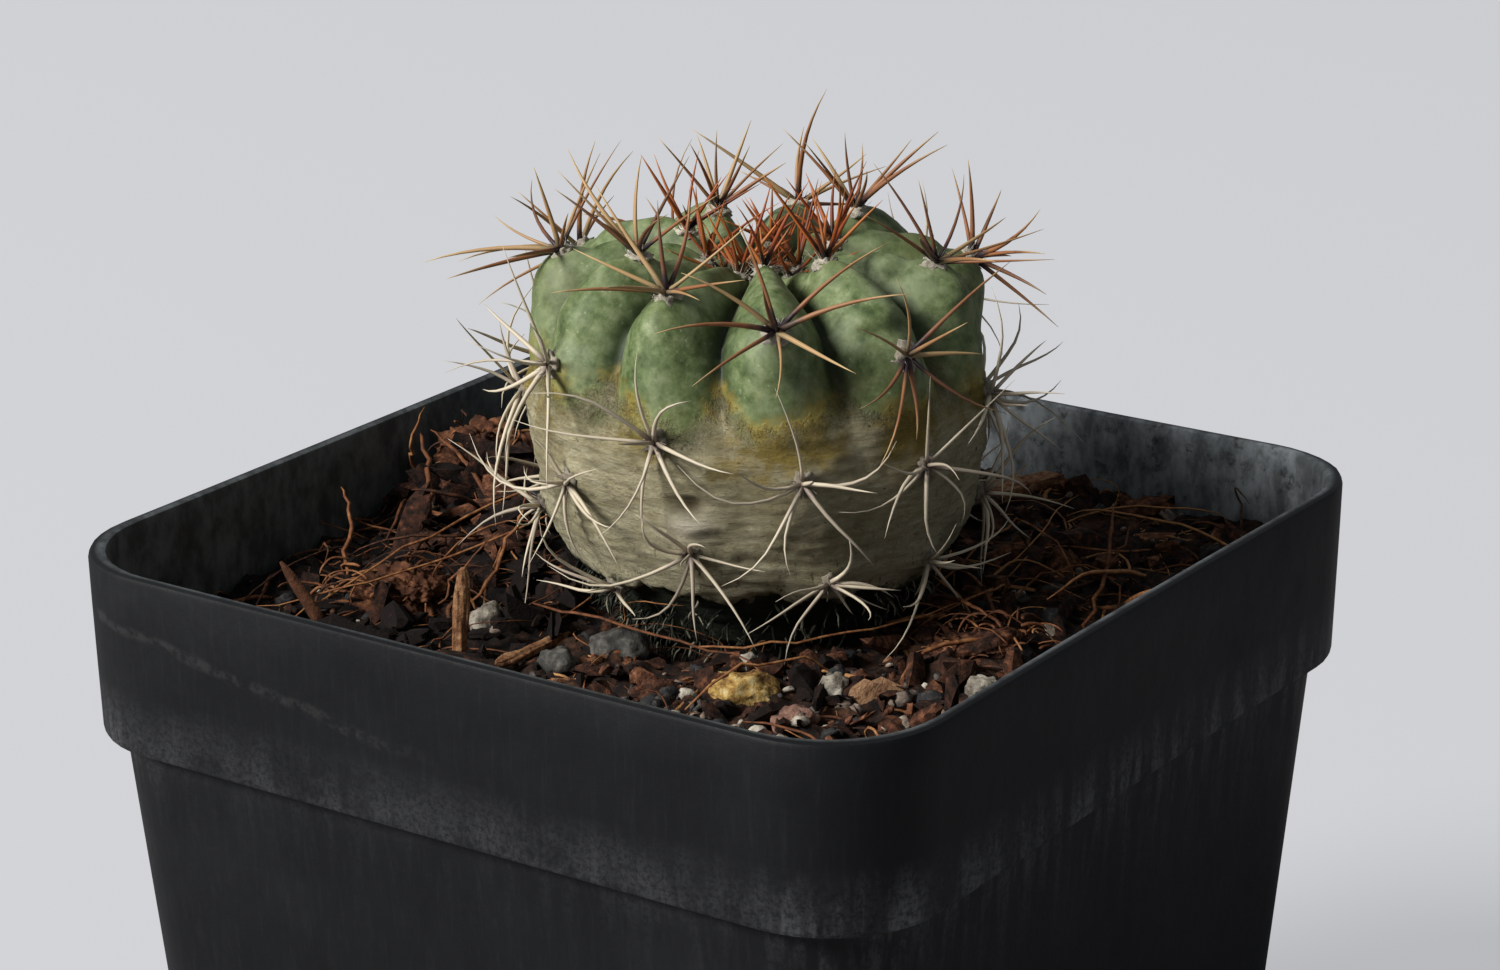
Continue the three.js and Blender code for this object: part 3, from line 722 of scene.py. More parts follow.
def make_pot():
    """A rounded square drawn up the outside, over the rim and down the inside, with drain holes."""
    deselect()
    profile = pot_profile()
    half = RIM_HALF - profile[0][0]
    bpy.ops.mesh.primitive_plane_add(size=2 * half, location=(0, 0, profile[0][1]))
    pot = bpy.context.object
    edit_all()
    bpy.ops.mesh.bevel(offset=RIM_CORNER * half / RIM_HALF, segments=10, affect="VERTICES")
    bpy.ops.mesh.select_all(action="SELECT")
    bpy.ops.mesh.delete(type="ONLY_FACE")
    bpy.ops.mesh.select_mode(type="EDGE")
    select_long_edges(pot.data, half)
    bpy.ops.mesh.subdivide(number_cuts=11)
    bpy.ops.mesh.select_all(action="SELECT")
    bpy.ops.mesh.edge_face_add()
    height = profile[0][1]
    for inset, z in profile[1:]:
        bpy.ops.mesh.extrude_region_move(TRANSFORM_OT_translate={"value": (0, 0, z - height)})
        scale = (RIM_HALF - inset) / half
        bpy.ops.transform.resize(value=(scale, scale, 1))
        half, height = RIM_HALF - inset, z
    end_edit(outward=True)
    for x in (-DRAIN_SPREAD, DRAIN_SPREAD):
        for y in (-DRAIN_SPREAD, DRAIN_SPREAD):
            drill_drain(pot, x, y)
    warp_pot(pot)
    settle(pot)
    bpy.ops.object.shade_smooth_by_angle(angle=math.radians(38))
    return finished(pot, "moulded_pot", POT_PLASTIC, "pot_plastic", "pot")


def drill_drain(pot, x, y):
    deselect()
    size = {"vertices": 32, "radius": DRAIN_RADIUS, "depth": 8 * MM}
    bpy.ops.mesh.primitive_cylinder_add(location=(x, y, FOOT_RISE), **size)
    drill = bpy.context.object
    apply_modifier(pot, "BOOLEAN", operation="DIFFERENCE", object=drill, solver="EXACT")
    bpy.data.objects.remove(drill)


def warp_pot(pot):
    """Thin walls bow a little between the corners, and the wall to the right leans in most."""
    co = coordinates(pot.data)
    x, y, z = co.T
    high = smooth(20 * MM, RIM_TOP, z)
    across_x = np.clip(1 - (y / RIM_HALF) ** 2, 0, 1)
    across_y = np.clip(1 - (x / RIM_HALF) ** 2, 0, 1)
    outer = np.maximum(abs(x), abs(y)) > 0.7 * RIM_HALF
    moved = co.copy()
    bow_x = np.where(x > 0, -0.35 * MM, 0.15 * MM) * (abs(x) > abs(y))
    bow_y = np.where(y > 0, -0.2 * MM, -0.1 * MM) * (abs(y) > abs(x))
    moved[:, 0] += outer * high * across_x * bow_x
    moved[:, 1] += outer * high * across_y * bow_y
    inset = RIM_HALF - np.maximum(abs(x), abs(y)) / rounded_reach(x, y, RIM_HALF, RIM_CORNER)
    wall_inset = np.where(z > BAND_FOOT, 0, BAND_STEP + (BAND_FOOT - z) * BODY_TAPER)
    inner = (inset > wall_inset + 0.5 * WALL) & (z > FLOOR)
    # Painted light: the inner share is strongest on the back wall, which light falls on, so its
    # deposit is painted paler there.
    lit_wall_share = 0.4 + 0.6 * smooth(-2 * MM, 5 * MM, y - abs(x))
    point_value(pot.data, "inner", inner * lit_wall_share)
    dusty_side = 0.3 + 0.7 * smooth(-6 * MM, 2 * MM, x - abs(y))
    point_value(pot.data, "lip", smooth(RIM_TOP - 0.5 * MM, RIM_TOP, z) * dusty_side)
    below = np.clip(BAND_FOOT + 0.3 * MM - z, 0, None)
    under = (z < BAND_FOOT + 0.35 * MM) * ~inner
    point_value(pot.data, "band_line", under * np.exp(-below / (0.75 * MM)))
    to_corner = smooth(5 * MM, 0, RIM_HALF - np.minimum(abs(x), abs(y)) - 5 * MM)
    drips = np.where(x > abs(y), 0.75, 0.12) + 0.5 * to_corner
    point_value(pot.data, "drips", under * drips * np.exp(-below / (3.4 * MM)))
    set_coordinates(pot.data, moved)


# ------------------------------------------------------------------ mix

BED_HALF = RIM_HALF - 1.75 * MM
BED_CORNER = RIM_CORNER * BED_HALF / RIM_HALF


def mix_height(x, y):
    """The mix's surface as its solid has it: level, slope, heap and the rise round the stem."""
    half = RIM_HALF
    slope = 1.1 * MM * (x + y) / (2 * half)
    from_heap = math.hypot(x + 0.76 * half, y - 0.34 * half)
    heaped = 2 * MM * math.exp(-(from_heap / (11 * MM)) ** 2)
    collar = MM * math.exp(-(from_axis(x, y) / STEM_RADIUS) ** 2)
    dips = 0.35 * MM * math.sin(x / MM * 0.41 + 1) * math.cos(y / MM * 0.37 - x / MM * 0.12)
    return RIM_TOP - 7 * MM + slope + heaped + collar + dips


def bed_height(x, y):
    """The loose surface: lumps and crumbs over the mix, highest at the heap by the left wall."""
    spot = Vector((x, y, 0))
    lumps = noise.fractal(spot / (5.5 * MM), 0.6, 2.1, 4) * 0.75 * MM
    crumbs = noise.voronoi(spot / (1.9 * MM))[0]
    crumb = (0.5 - min(crumbs[0], 0.7)) * 1.1 * MM
    fine = noise.fractal(spot / (0.8 * MM), 0.7, 2.2, 3) * 0.22 * MM
    from_heap = math.hypot(x + 0.82 * RIM_HALF, y - 0.2 * RIM_HALF)
    loose = 1.5 * MM * math.exp(-(from_heap / (9 * MM)) ** 2)
    near = from_axis(x, y)
    pocket = 5 * MM * (1 - float(smooth(6.5 * MM, 10 * MM, near)))
    pocket += 1.1 * MM * math.exp(-(((near - 11 * MM) / (2.6 * MM)) ** 2))
    return mix_height(x, y) + lumps + crumb + fine + loose - pocket


def rounded_reach(x, y, half, corner):
    """How far a point of a square is drawn in so that the square's corners become round."""
    dx, dy = abs(x), abs(y)
    length = np.hypot(dx, dy) + 1e-12
    dx, dy = dx / length, dy / length
    square = half / np.maximum(dx, dy)
    centre = half - corner
    along = centre * (dx + dy)
    arc = along + np.sqrt(np.maximum(along**2 - 2 * centre**2 + corner**2, 0))
    on_corner = (square * dx > centre) & (square * dy > centre)
    return np.where(on_corner, arc / square, 1.0)


def make_bed():
    """A fine grid drawn to the pot's rounded square, lumpy on top, with sides down to the floor."""
    deselect()
    bpy.ops.mesh.primitive_grid_add(x_subdivisions=190, y_subdivisions=190, size=2 * BED_HALF)
    bed = bpy.context.object
    bpy.ops.object.mode_set(mode="EDIT")
    bpy.ops.mesh.select_mode(type="EDGE")
    bpy.ops.mesh.select_all(action="DESELECT")
    bpy.ops.mesh.select_non_manifold()
    bpy.ops.mesh.extrude_edges_move(TRANSFORM_OT_translate={"value": (0, 0, -5 * MM)})
    bpy.ops.mesh.extrude_edges_move(TRANSFORM_OT_translate={"value": (0, 0, -1 * MM)})
    bpy.ops.transform.resize(value=(0.975, 0.975, 1))
    bpy.ops.mesh.extrude_edges_move(TRANSFORM_OT_translate={"value": (0, 0, -48 * MM)})
    bpy.ops.transform.resize(value=(0.885, 0.885, 1))
    bpy.ops.mesh.edge_face_add()
    end_edit(outward=True)
    co = coordinates(bed.data)
    pull = rounded_reach(co[:, 0], co[:, 1], BED_HALF, BED_CORNER)
    co[:, :2] *= pull[:, None]
    level = mix_height(0, 0)
    for i, (x, y, z) in enumerate(co):
        co[i, 2] = bed_height(x, y) if z > -MM else level + z - 1.5 * MM
    set_coordinates(bed.data, co)
    shades = []
    for x, y, _ in co:
        cloud = noise.fractal(Vector((x, y, 0)) / (2.2 * MM), 0.6, 2, 3)
        shades.append(0.42 - left_darkening(x) * 0.8 + 0.22 * cloud)
    point_value(bed.data, "shade", shades)
    settle(bed)
    return finished(bed, "coir_bed", COIR_BED, "coir_mix", "potting_mix")


# ------------------------------------------------------------------ stem

def outline_curve():
    """The rib's outline as evenly spaced points: a smooth curve through the outline's points."""
    points = np.array([(r * STEM_RADIUS, h * STEM_HEIGHT) for r, h in OUTLINE])
    padded = np.vstack([points[0], points, points[-1]])
    dense = []
    for i in range(len(points) - 1):
        a, b, c, d = padded[i:i + 4]
        for t in np.linspace(0, 1, 24, endpoint=False):
            square = (2 * a - 5 * b + 4 * c - d) * t**2
            cube = (3 * b - a - 3 * c + d) * t**3
            dense.append(0.5 * (2 * b + (c - a) * t + square + cube))
    dense.append(points[-1])
    dense = np.array(dense)
    run = np.concatenate([[0], np.cumsum(np.linalg.norm(np.diff(dense, axis=0), axis=1))])
    return dense, run / run[-1]


OUTLINE_POINTS, OUTLINE_RUN = outline_curve()
OUTLINE_LENGTH = float(np.sum(np.linalg.norm(np.diff(OUTLINE_POINTS, axis=0), axis=1)))


def outline_point(share):
    return [np.interp(share, OUTLINE_RUN, OUTLINE_POINTS[:, k]) for k in range(2)]


def outline_at(share):
    """Distance from the axis and height above the mix, and the same for the outward normal."""
    share = np.asarray(share, float)
    radius, height = outline_point(share)
    ahead = outline_point(np.clip(share + 0.01, 0, 1))
    behind = outline_point(np.clip(share - 0.01, 0, 1))
    run_r, run_h = ahead[0] - behind[0], ahead[1] - behind[1]
    length = np.hypot(run_r, run_h) + 1e-12
    return radius, height, -run_h / length, run_r / length


def rib_angle(rib, share):
    return RIB_START + rib * 2 * math.pi / RIB_COUNT + RIB_TWIST * smooth(0.4, 1.1, share)


def areoles():
    """Name, rib and share down the rib of each areole, from the crown down."""
    found = []
    for rib, share in enumerate(FIRST_AREOLES):
        for i in range(4):
            found.append((f"spines_rib{rib + 1:02d}_{i + 1}", rib, share))
            share += 0.25 if share < 0.41 else 0.193
    return found


def skin_frame(rib, share, lift=0.0):
    """A place on a rib, the way off the skin there and the way up the rib."""
    radius, height, out_r, out_h = outline_at(share)
    angle = float(rib_angle(rib, share))
    flat = Vector((math.cos(angle), math.sin(angle), 0))
    rise = Vector((0, 0, float(height + out_h * lift)))
    spot = STEM + flat * float(radius + out_r * lift) + rise
    outward = (flat * float(out_r) + Vector((0, 0, float(out_h)))).normalized()
    upward = (flat * float(-out_h) + Vector((0, 0, float(out_r)))).normalized()
    return spot, outward, upward


def mound(across, along, wide, tall):
    """A soft round rise, 1 at its middle, with its widths in millimetres."""
    return np.exp(-((across / (wide * MM)) ** 2 + (along / (tall * MM)) ** 2))


def raise_areoles(lift, ribs, share, radius):
    """Each areole sits on a small rise with a chin below it and a notch above it."""
    for _, rib, place_on_rib in areoles():
        gap = (ribs - rib + RIB_COUNT / 2) % RIB_COUNT - RIB_COUNT / 2
        side = gap * 2 * math.pi / RIB_COUNT * radius
        down = (share - place_on_rib) * OUTLINE_LENGTH
        near = mound(side, down, 1.5, 1.4)
        chin = mound(side, down - 2.0 * MM, 2.3, 1.7)
        notch = mound(side, down + 1.9 * MM, 2.4, 0.8)
        young = 1 - 0.75 * float(smooth(0.4, 0.7, place_on_rib))
        lift += (0.4 * near + 0.5 * chin * young - 0.35 * notch * young) * MM


def wrinkle_skin(lift, share, rings):
    """Soft lumps all over, wrinkles on the cork and a ragged step where the foot is torn."""
    corky = smooth(0.5, 0.62, share)
    for i in np.nonzero(share > 0)[0]:
        ring = Vector(rings[i])
        soft = noise.fractal(ring / (4.5 * MM), 0.6, 2.1, 3) * 0.16
        squeezed = Vector((ring.x, ring.y, ring.z * 5))
        wrinkle = noise.fractal(squeezed / (3.2 * MM), 0.6, 2.1, 4) * 0.16
        edge = 3.6 + 1.5 * noise.fractal(Vector((ring.x, ring.y, 0)) / (3 * MM), 0.7, 2.3, 4)
        torn = 0.8 * (1 - float(smooth(edge - 0.2, edge + 0.2, rings[i][2] / MM)))
        lift[i] += (soft + corky[i] * wrinkle - torn) * MM


def scar_and_hollow(angle, radius, height):
    """The old scar low on the stem and the pit above it."""
    across = np.angle(np.exp(1j * (angle - SCAR_BEARING))) * radius
    above = height - SCAR_HEIGHT
    return mound(across, above, 1.5, 1.1), mound(across, above - 1.3 * MM, 1.1, 0.7)


def rooted(polar, x, z):
    """The foot of the ball drawn down into the mix as the rootstock, and where that is."""
    root = polar > STEM_SHARE
    down = np.clip((polar - STEM_SHARE) / (1 - STEM_SHARE), 0, 1)
    steps = np.linspace(0, 1, 6)
    root_r = np.interp(down, steps, [0.66] + [r for r, _ in ROOTSTOCK] + [0])
    root_z = np.interp(down, steps, [0] + [h for _, h in ROOTSTOCK] + [-0.34])
    x = np.where(root, root_r * STEM_RADIUS - 0.5 * MM * (1 - down), x)
    return x, np.where(root, root_z * STEM_HEIGHT, z), root


def make_stem():
    """A ball drawn to the outline: puffed ribs, sharp grooves, raised areoles, a torn foot."""
    deselect()
    bpy.ops.mesh.primitive_uv_sphere_add(segments=RIB_COUNT * 20, ring_count=170, radius=1)
    stem = bpy.context.object
    co = coordinates(stem.data)
    polar = np.arccos(np.clip(co[:, 2], -1, 1)) / math.pi
    ribs = np.arctan2(co[:, 1], co[:, 0]) / (2 * math.pi) * RIB_COUNT
    share = np.clip(polar / STEM_SHARE, 0, 1)
    radius, height, out_r, out_h = outline_at(share)
    angle = rib_angle(ribs, share)
    turn = np.stack([np.cos(angle), np.sin(angle)], axis=1)

    groove = 1 - np.abs(np.cos(ribs * math.pi)) ** 0.86
    depth = GROOVE_DEPTH * smooth(0, 0.2, share) * (1 - 0.95 * smooth(0.42, 0.62, share))
    lift = -groove * depth
    raise_areoles(lift, ribs, share, radius)
    wrinkle_skin(lift, share, np.column_stack([turn * radius[:, None], height]))
    scar, hollow = scar_and_hollow(angle, radius, height)
    lift += (0.8 * scar - 0.7 * hollow) * MM

    x, z, root = rooted(polar, radius + out_r * lift, height + out_h * lift)
    shaped = np.stack([turn[:, 0] * x, turn[:, 1] * x, z], axis=1) + np.array(STEM)
    set_coordinates(stem.data, shaped)
    point_value(stem.data, "groove", groove * (1 - smooth(0.5, 0.66, share)))
    point_value(stem.data, "level", np.where(root, -1, height / MM))
    point_value(stem.data, "scar", scar)
    point_value(stem.data, "hollow", hollow)
    settle(stem)
    return finished(stem, "ribbed_stem", CACTUS_SKIN, "cactus_skin", "cactus_body")


# ------------------------------------------------------------------ spines and wool

def tapered_rod(name, sides, steps, radii):
    """A rod one metre long with a round section, drawn up from a disc and narrowed at each step."""
    deselect()
    bpy.ops.mesh.primitive_circle_add(vertices=sides, radius=1, fill_type="NGON")
    rod = bpy.context.object
    rod.name = name
    edit_all()
    for step in range(steps):
        bpy.ops.mesh.extrude_region_move(TRANSFORM_OT_translate={"value": (0, 0, 1 / steps)})
        narrow = radii[step + 1] / radii[step]
        bpy.ops.transform.resize(value=(narrow, narrow, 1))
    end_edit(outward=True)
    point_value(rod.data, "along", coordinates(rod.data)[:, 2])
    bpy.ops.object.shade_smooth()
    return rod


def bent_rod(template, path, thickness, shade, flat=1.0):
    """A copy of a rod laid along a path of points, in metres."""
    rod = copy_of(template)
    co = coordinates(rod.data)
    path = np.array(path)
    stations = np.linspace(0, 1, len(path))
    middle = np.stack([np.interp(co[:, 2], stations, path[:, k]) for k in range(3)], axis=1)
    ahead = np.gradient(path, axis=0)
    ahead /= np.linalg.norm(ahead, axis=1)[:, None] + 1e-12
    axis = np.stack([np.interp(co[:, 2], stations, ahead[:, k]) for k in range(3)], axis=1)
    side = np.cross(axis, turned(path[-1] - path[0])[1])
    side /= np.linalg.norm(side, axis=1)[:, None] + 1e-12
    other = np.cross(axis, side)
    offset = side * co[:, :1] * thickness + other * co[:, 1:2] * thickness * flat
    set_coordinates(rod.data, middle + offset)
    point_value(rod.data, "shade", shade)
    return rod


def spine_tips(name, centre):
    """The far ends of a cluster's cones, from its solid."""
    co = np.round(coordinates(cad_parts[name].data), 6)
    co = np.unique(co, axis=0)
    away = co - np.array(centre)
    reach = np.linalg.norm(away, axis=1)
    tips = []
    for i in np.argsort(-reach):
        if reach[i] < 2.4 * MM:
            break
        aim = away[i] / reach[i]
        if all(aim @ other < 0.988 for other, _ in tips):
            tips.append((aim, reach[i]))
    return [Vector(centre) + Vector(aim) * reach for aim, reach in tips]


def spine_path(foot, tip, outward, arch, lean, hook=0.0, steps=7):
    """From the foot to the tip, arched off the skin, leaning aside and hooked near the tip."""
    along = tip - foot
    aside = along.cross(outward).normalized()
    path = []
    for step in range(steps + 1):
        t = step / steps
        rise = 4 * t * (1 - t) * along.length
        curl = hook * max(t - 0.5, 0) ** 2 * along.length
        arched = foot + along * t + outward * (arch * rise - curl)
        path.append(arched + aside * (lean * rise + curl))
    return path


def make_spines(spine, wool, hair):
    """Each cluster's spines, curved from their areole to their tips, and its wool."""
    tufts = []
    for name, rib, share in areoles():
        centre, outward, upward = skin_frame(rib, share, 0.55 * MM)
        old = float(smooth(0.35, 0.62, share))
        rods = []
        for tip in spine_tips(name, centre):
            reach = rng.choice((1, 1, 0.97, 0.9, 0.8, 0.68) if old else (1, 1, 0.94, 0.84))
            swing = random_step(1, 1, 1) * (0.5 + 0.5 * old) * MM
            tip = centre + (tip - centre) * reach + swing
            foot = centre + (tip - centre).normalized() * 0.1 * MM
            flat = 1 - abs((tip - centre).normalized().dot(outward))
            arch = flat * rng.uniform(0.01, 0.09 + 0.06 * old)
            hook = rng.choice((-0.5, 0.15, 0.5)) * old
            lean = rng.gauss(0, 0.045 + 0.035 * old)
            path = spine_path(foot, tip, outward, arch, lean, hook)
            thick = rng.uniform(0.16, 0.26) * MM * (1 - 0.14 * old)
            rods.append(bent_rod(spine, path, thick, rng.random()))
        finish = SPINE_YOUNG if share < 0.2 else SPINE_OLD if share > 0.46 else SPINE_MID
        slot = {"1": "spine_young", "2": "spine_mid"}.get(name[-1], "spine_old")
        heap(rods, name + "_look", finish, slot, name)
        tufts += areole_wool(wool, hair, centre, outward, upward, share)
    tufts += crown_tufts(spine, wool, hair)
    heap(tufts, "areole_wool", WOOL, "spine_old")


def areole_wool(wool, hair, centre, outward, upward, share):
    """A felted pad and the loose hairs that stand round it."""
    tufts = [wool_pad(wool, centre, outward, upward, share)]
    aside = outward.cross(upward)
    for _ in range(12):
        turn = random_turn()
        flat = upward * math.cos(turn) + aside * math.sin(turn)
        start = centre + flat * rng.uniform(0.1, 0.55) * MM - outward * 0.1 * MM
        aim = (flat * rng.uniform(0.2, 1.1) + outward * rng.uniform(0.1, 1)).normalized()
        path = []
        for t in (0, 0.35, 0.7, 1):
            path.append(start + aim * rng.uniform(0.5, 1.1) * MM * t + outward * 0.25 * MM * t * t)
        shade = float(smooth(0.2, 0.8, share)) * 0.5 + rng.uniform(-0.1, 0.25)
        tufts.append(bent_rod(hair, path, rng.uniform(0.025, 0.05) * MM, shade))
    return tufts


def crown_tufts(spine, wool, hair):
    """The newest areoles in the dimple of the crown: woolly, with short spines just coming."""
    tufts, buds = [], []
    for bud in range(6):
        turn = bud * 2.4 + 0.5
        reach = (0.5 + 0.5 * bud) * MM
        flat = Vector((math.cos(turn), math.sin(turn), 0))
        centre = STEM + flat * reach + Vector((0, 0, STEM_HEIGHT * 0.9 + 0.35 * MM + 0.1 * reach))
        tufts += areole_wool(wool, hair, centre, Vector((0, 0, 1)), flat, 0.1)
        for _ in range(4):
            lean = random_aim(1, 0.5, 1.1).normalized()
            tip = centre + (lean + flat * 0.2) * rng.uniform(2.6, 6.4) * MM
            path = spine_path(centre, tip, flat, rng.uniform(-0.08, 0.1), rng.gauss(0, 0.04))
            buds.append(bent_rod(spine, path, rng.uniform(0.12, 0.19) * MM, rng.random()))
    heap(buds, "crown_spines", SPINE_YOUNG, "spine_young")
    return tufts


def wool_pad(template, centre, outward, upward, share):
    """A low felted pad under a cluster, wider across the rib than along it."""
    pad = copy_of(template)
    co = coordinates(pad.data)
    fuller = 0.25 * float(smooth(0.06, 0.25, share))
    worn = 0.22 * float(smooth(0.4, 0.8, share))
    size = (0.62 + fuller - worn) * MM
    turn = np.array([upward, outward.cross(upward), outward])
    felt = [noise.fractal(Vector(p) * 2.2 + centre * 900, 0.6, 2.2, 3) for p in co]
    rough = 1 + 0.6 * np.array(felt)
    co = co * rough[:, None] * np.array([size * 1.1, size, size * 0.62])
    set_coordinates(pad.data, co @ turn + np.array(centre - outward * 0.28 * MM))
    point_value(pad.data, "shade", float(smooth(0.2, 0.8, share)) * 0.65 + rng.uniform(-0.1, 0.1))
    return pad


# ------------------------------------------------------------------ stones, bark and sticks

def rough_copy(solid, levels, size, amount, material, slot, grain=(1, 1, 1)):
    """A solid's shape, subdivided and roughened."""
    deselect()
    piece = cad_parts[solid].copy()
    piece.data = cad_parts[solid].data.copy()
    bpy.context.scene.collection.objects.link(piece)
    for key in [key for key in piece.keys() if key.startswith("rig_")]:
        del piece[key]
    piece.parent = None
    activate(piece)
    edit_all()
    bpy.ops.mesh.remove_doubles(threshold=0.001 * MM)
    end_edit()
    apply_modifier(piece, "SUBSURF", levels=levels, render_levels=levels)
    co = coordinates(piece.data)
    middle = co.mean(axis=0)
    normals = np.array([v.normal for v in piece.data.vertices])
    for i, spot in enumerate(co):
        at = Vector((spot - middle) * np.array(grain)) / size + Vector(middle) * 300
        co[i] += normals[i] * noise.fractal(at, 0.7, 2.2, 4) * amount
        co[i] += normals[i] * (0.5 - min(noise.voronoi(at * 0.8)[0][0], 0.8)) * amount * 1.1
    set_coordinates(piece.data, co)
    point_value(piece.data, "shade", [0.5 + 0.2 * noise.noise(Vector(p) * 500) for p in co])
    settle(piece)
    return finished(piece, solid + "_look", material, slot, solid)


def make_pieces():
    stones = (
        ("stone_1", OCHRE_STONE, "ochre_stone"), ("stone_2", DARK_STONE, "dark_stone"),
        ("stone_3", DARK_STONE, "dark_stone"), ("stone_4", PALE_STONE, "pale_stone"),
        ("stone_5", RED_STONE, "red_stone"), ("stone_6", PALE_STONE, "pale_stone"),
        ("stone_7", PALE_STONE, "pale_stone"),
    )
    for solid, material, slot in stones:
        rough_copy(solid, 2, 1.1 * MM, 0.3 * MM, material, slot)
    for solid in ("bark_chip_1", "bark_chip_2"):
        rough_copy(solid, 3, 1.2 * MM, 0.45 * MM, BARK, "bark_husk", (1, 0.4, 2))
    for solid in ("husk_chunk", "bark_slab"):
        rough_copy(solid, 4, 1.3 * MM, 0.7 * MM, HUSK, "bark_husk", (0.35, 1.5, 1.5))
    for solid, grain in (("twig_1", (2, 2, 0.15)), ("twig_2", (2, 0.15, 2))):
        rough_copy(solid, 3, 0.5 * MM, 0.12 * MM, SPLIT_WOOD, "split_twig", grain)


# ------------------------------------------------------------------ loose litter

CRUMB_COUNT = 1150
STRIP_COUNT = 40
GRIT_TRIES = 420
STRAND_COUNT = 760
HAIR_COUNT = 210
ROOTLET_COUNT = 680


def free_spot(margin=1.0, out_of_stem=10.6):
    """A random place on the bed, inside the wall and clear of the stem."""
    while True:
        reach = BED_HALF - margin * MM
        x, y = rng.uniform(-reach, reach), rng.uniform(-reach, reach)
        if rounded_reach(np.array([x]), np.array([y]), BED_HALF, BED_CORNER)[0] < 1:
            corner = BED_HALF - BED_CORNER
            over = math.hypot(max(abs(x) - corner, 0), max(abs(y) - corner, 0))
            if over > BED_CORNER - margin * MM:
                continue
        if from_axis(x, y) > out_of_stem * MM:
            return x, y


def lump_template(name, cuts, flatten, seed, uneven, cube=False):
    """One irregular crumb, about two metres across, to be copied small."""
    deselect()
    if cube:
        bpy.ops.mesh.primitive_cube_add(size=1.5)
        lump = bpy.context.object
        edit_all()
        bpy.ops.mesh.subdivide(number_cuts=cuts, smoothness=0.6)
        end_edit()
    else:
        bpy.ops.mesh.primitive_ico_sphere_add(subdivisions=cuts, radius=1)
        lump = bpy.context.object
    lump.name = name
    co = coordinates(lump.data)
    for i, spot in enumerate(co):
        at = Vector(spot) * 1.3 + Vector((seed, 0, 0))
        pushed = np.array(noise.noise_vector(at * 1.7)) * uneven * 0.5
        co[i] = spot * (1 + uneven * noise.noise(at)) + pushed
    co[:, 2] *= flatten
    set_coordinates(lump.data, co)
    return lump


def inside_wall(co):
    """A crumb's points, the whole crumb moved inwards if any of it would cut the pot's wall."""
    x, y = co[:, 0], co[:, 1]
    reach = np.maximum(abs(x), abs(y)) / rounded_reach(x, y, BED_HALF, BED_CORNER)
    over = reach.max() - BED_HALF
    if over > 0:
        middle = co[:, :2].mean(axis=0)
        co[:, :2] -= 1.45 * over * middle / np.linalg.norm(middle)
    return co


def scattered(template, spot, size, shade, tilt=0.9, long=1.4):
    """A copy of a crumb, turned at random and set down at a spot."""
    piece = copy_of(template)
    turn = Matrix.Rotation(random_turn(), 3, "Z") @ Matrix.Rotation(rng.gauss(0, tilt), 3, "X")
    turn = turn @ Matrix.Rotation(random_turn(), 3, "Z")
    stretch = np.array([rng.uniform(0.75, long), rng.uniform(0.45, 1.0), rng.uniform(0.6, 1.1)])
    co = coordinates(piece.data) * stretch * size / 2
    set_coordinates(piece.data, inside_wall(co @ np.array(turn).T + np.array(spot)))
    point_value(piece.data, "shade", shade)
    return piece


def left_darkening(x):
    """How much darker the mix is on the left."""
    return 0.27 * float(smooth(0, -12 * MM, x))


def crumb_spot(margin):
    """A place for a crumb: more of them at the front and the right, fewer against the stem."""
    while True:
        x, y = free_spot(margin, 11.4)
        if from_axis(x, y) > 13 * MM or rng.random() < 0.35:
            return x, y


def bark_crumb(templates):
    x, y = crumb_spot(0.8)
    size = rng.choice((0.4, 0.5, 0.7, 0.9, 1.1, 1.3, 1.8, 2.6)) * rng.uniform(0.8, 1.2) * MM
    spot = (x, y, bed_height(x, y) + size * rng.uniform(-0.05, 0.25))
    shade = min(max(rng.gauss(0.4, 0.2) - left_darkening(x), 0), 1)
    return scattered(rng.choice(templates), spot, size, shade, 0.9, rng.choice((1.5, 2.2, 3.2)))


def husk_strip(template):
    """A flat strip of husk in the heap by the left wall."""
    x = max(rng.gauss(-25 * MM, 4 * MM), -BED_HALF + 1.8 * MM)
    y = min(max(rng.gauss(7 * MM, 8 * MM), -12 * MM), 22 * MM)
    spot = (x, y, bed_height(x, y) + rng.uniform(0.2, 1.1) * MM)
    size = rng.uniform(1.8, 3.4) * MM
    return scattered(template, spot, size, rng.uniform(0.2, 0.62), 0.6, 2.6)


def grit_grains(templates):
    """Small stones, half of them drawn towards the front right corner."""
    grit = []
    for _ in range(GRIT_TRIES):
        x, y = crumb_spot(0.8)
        if rng.random() < 0.5:
            x, y = abs(x) * 0.75 + 6 * MM, -abs(y) * 0.6 - 6 * MM
            if from_axis(x, y) < 12.5 * MM or max(abs(x), abs(y)) > BED_HALF - MM:
                continue
        size = rng.choice((0.4, 0.5, 0.7, 0.9, 1.2, 1.6)) * rng.uniform(0.8, 1.2) * MM
        spot = (x, y, bed_height(x, y) + size * rng.uniform(0.0, 0.3))
        grit.append(scattered(rng.choice(templates), spot, size, rng.random() ** 1.8, 0.6))
    return grit


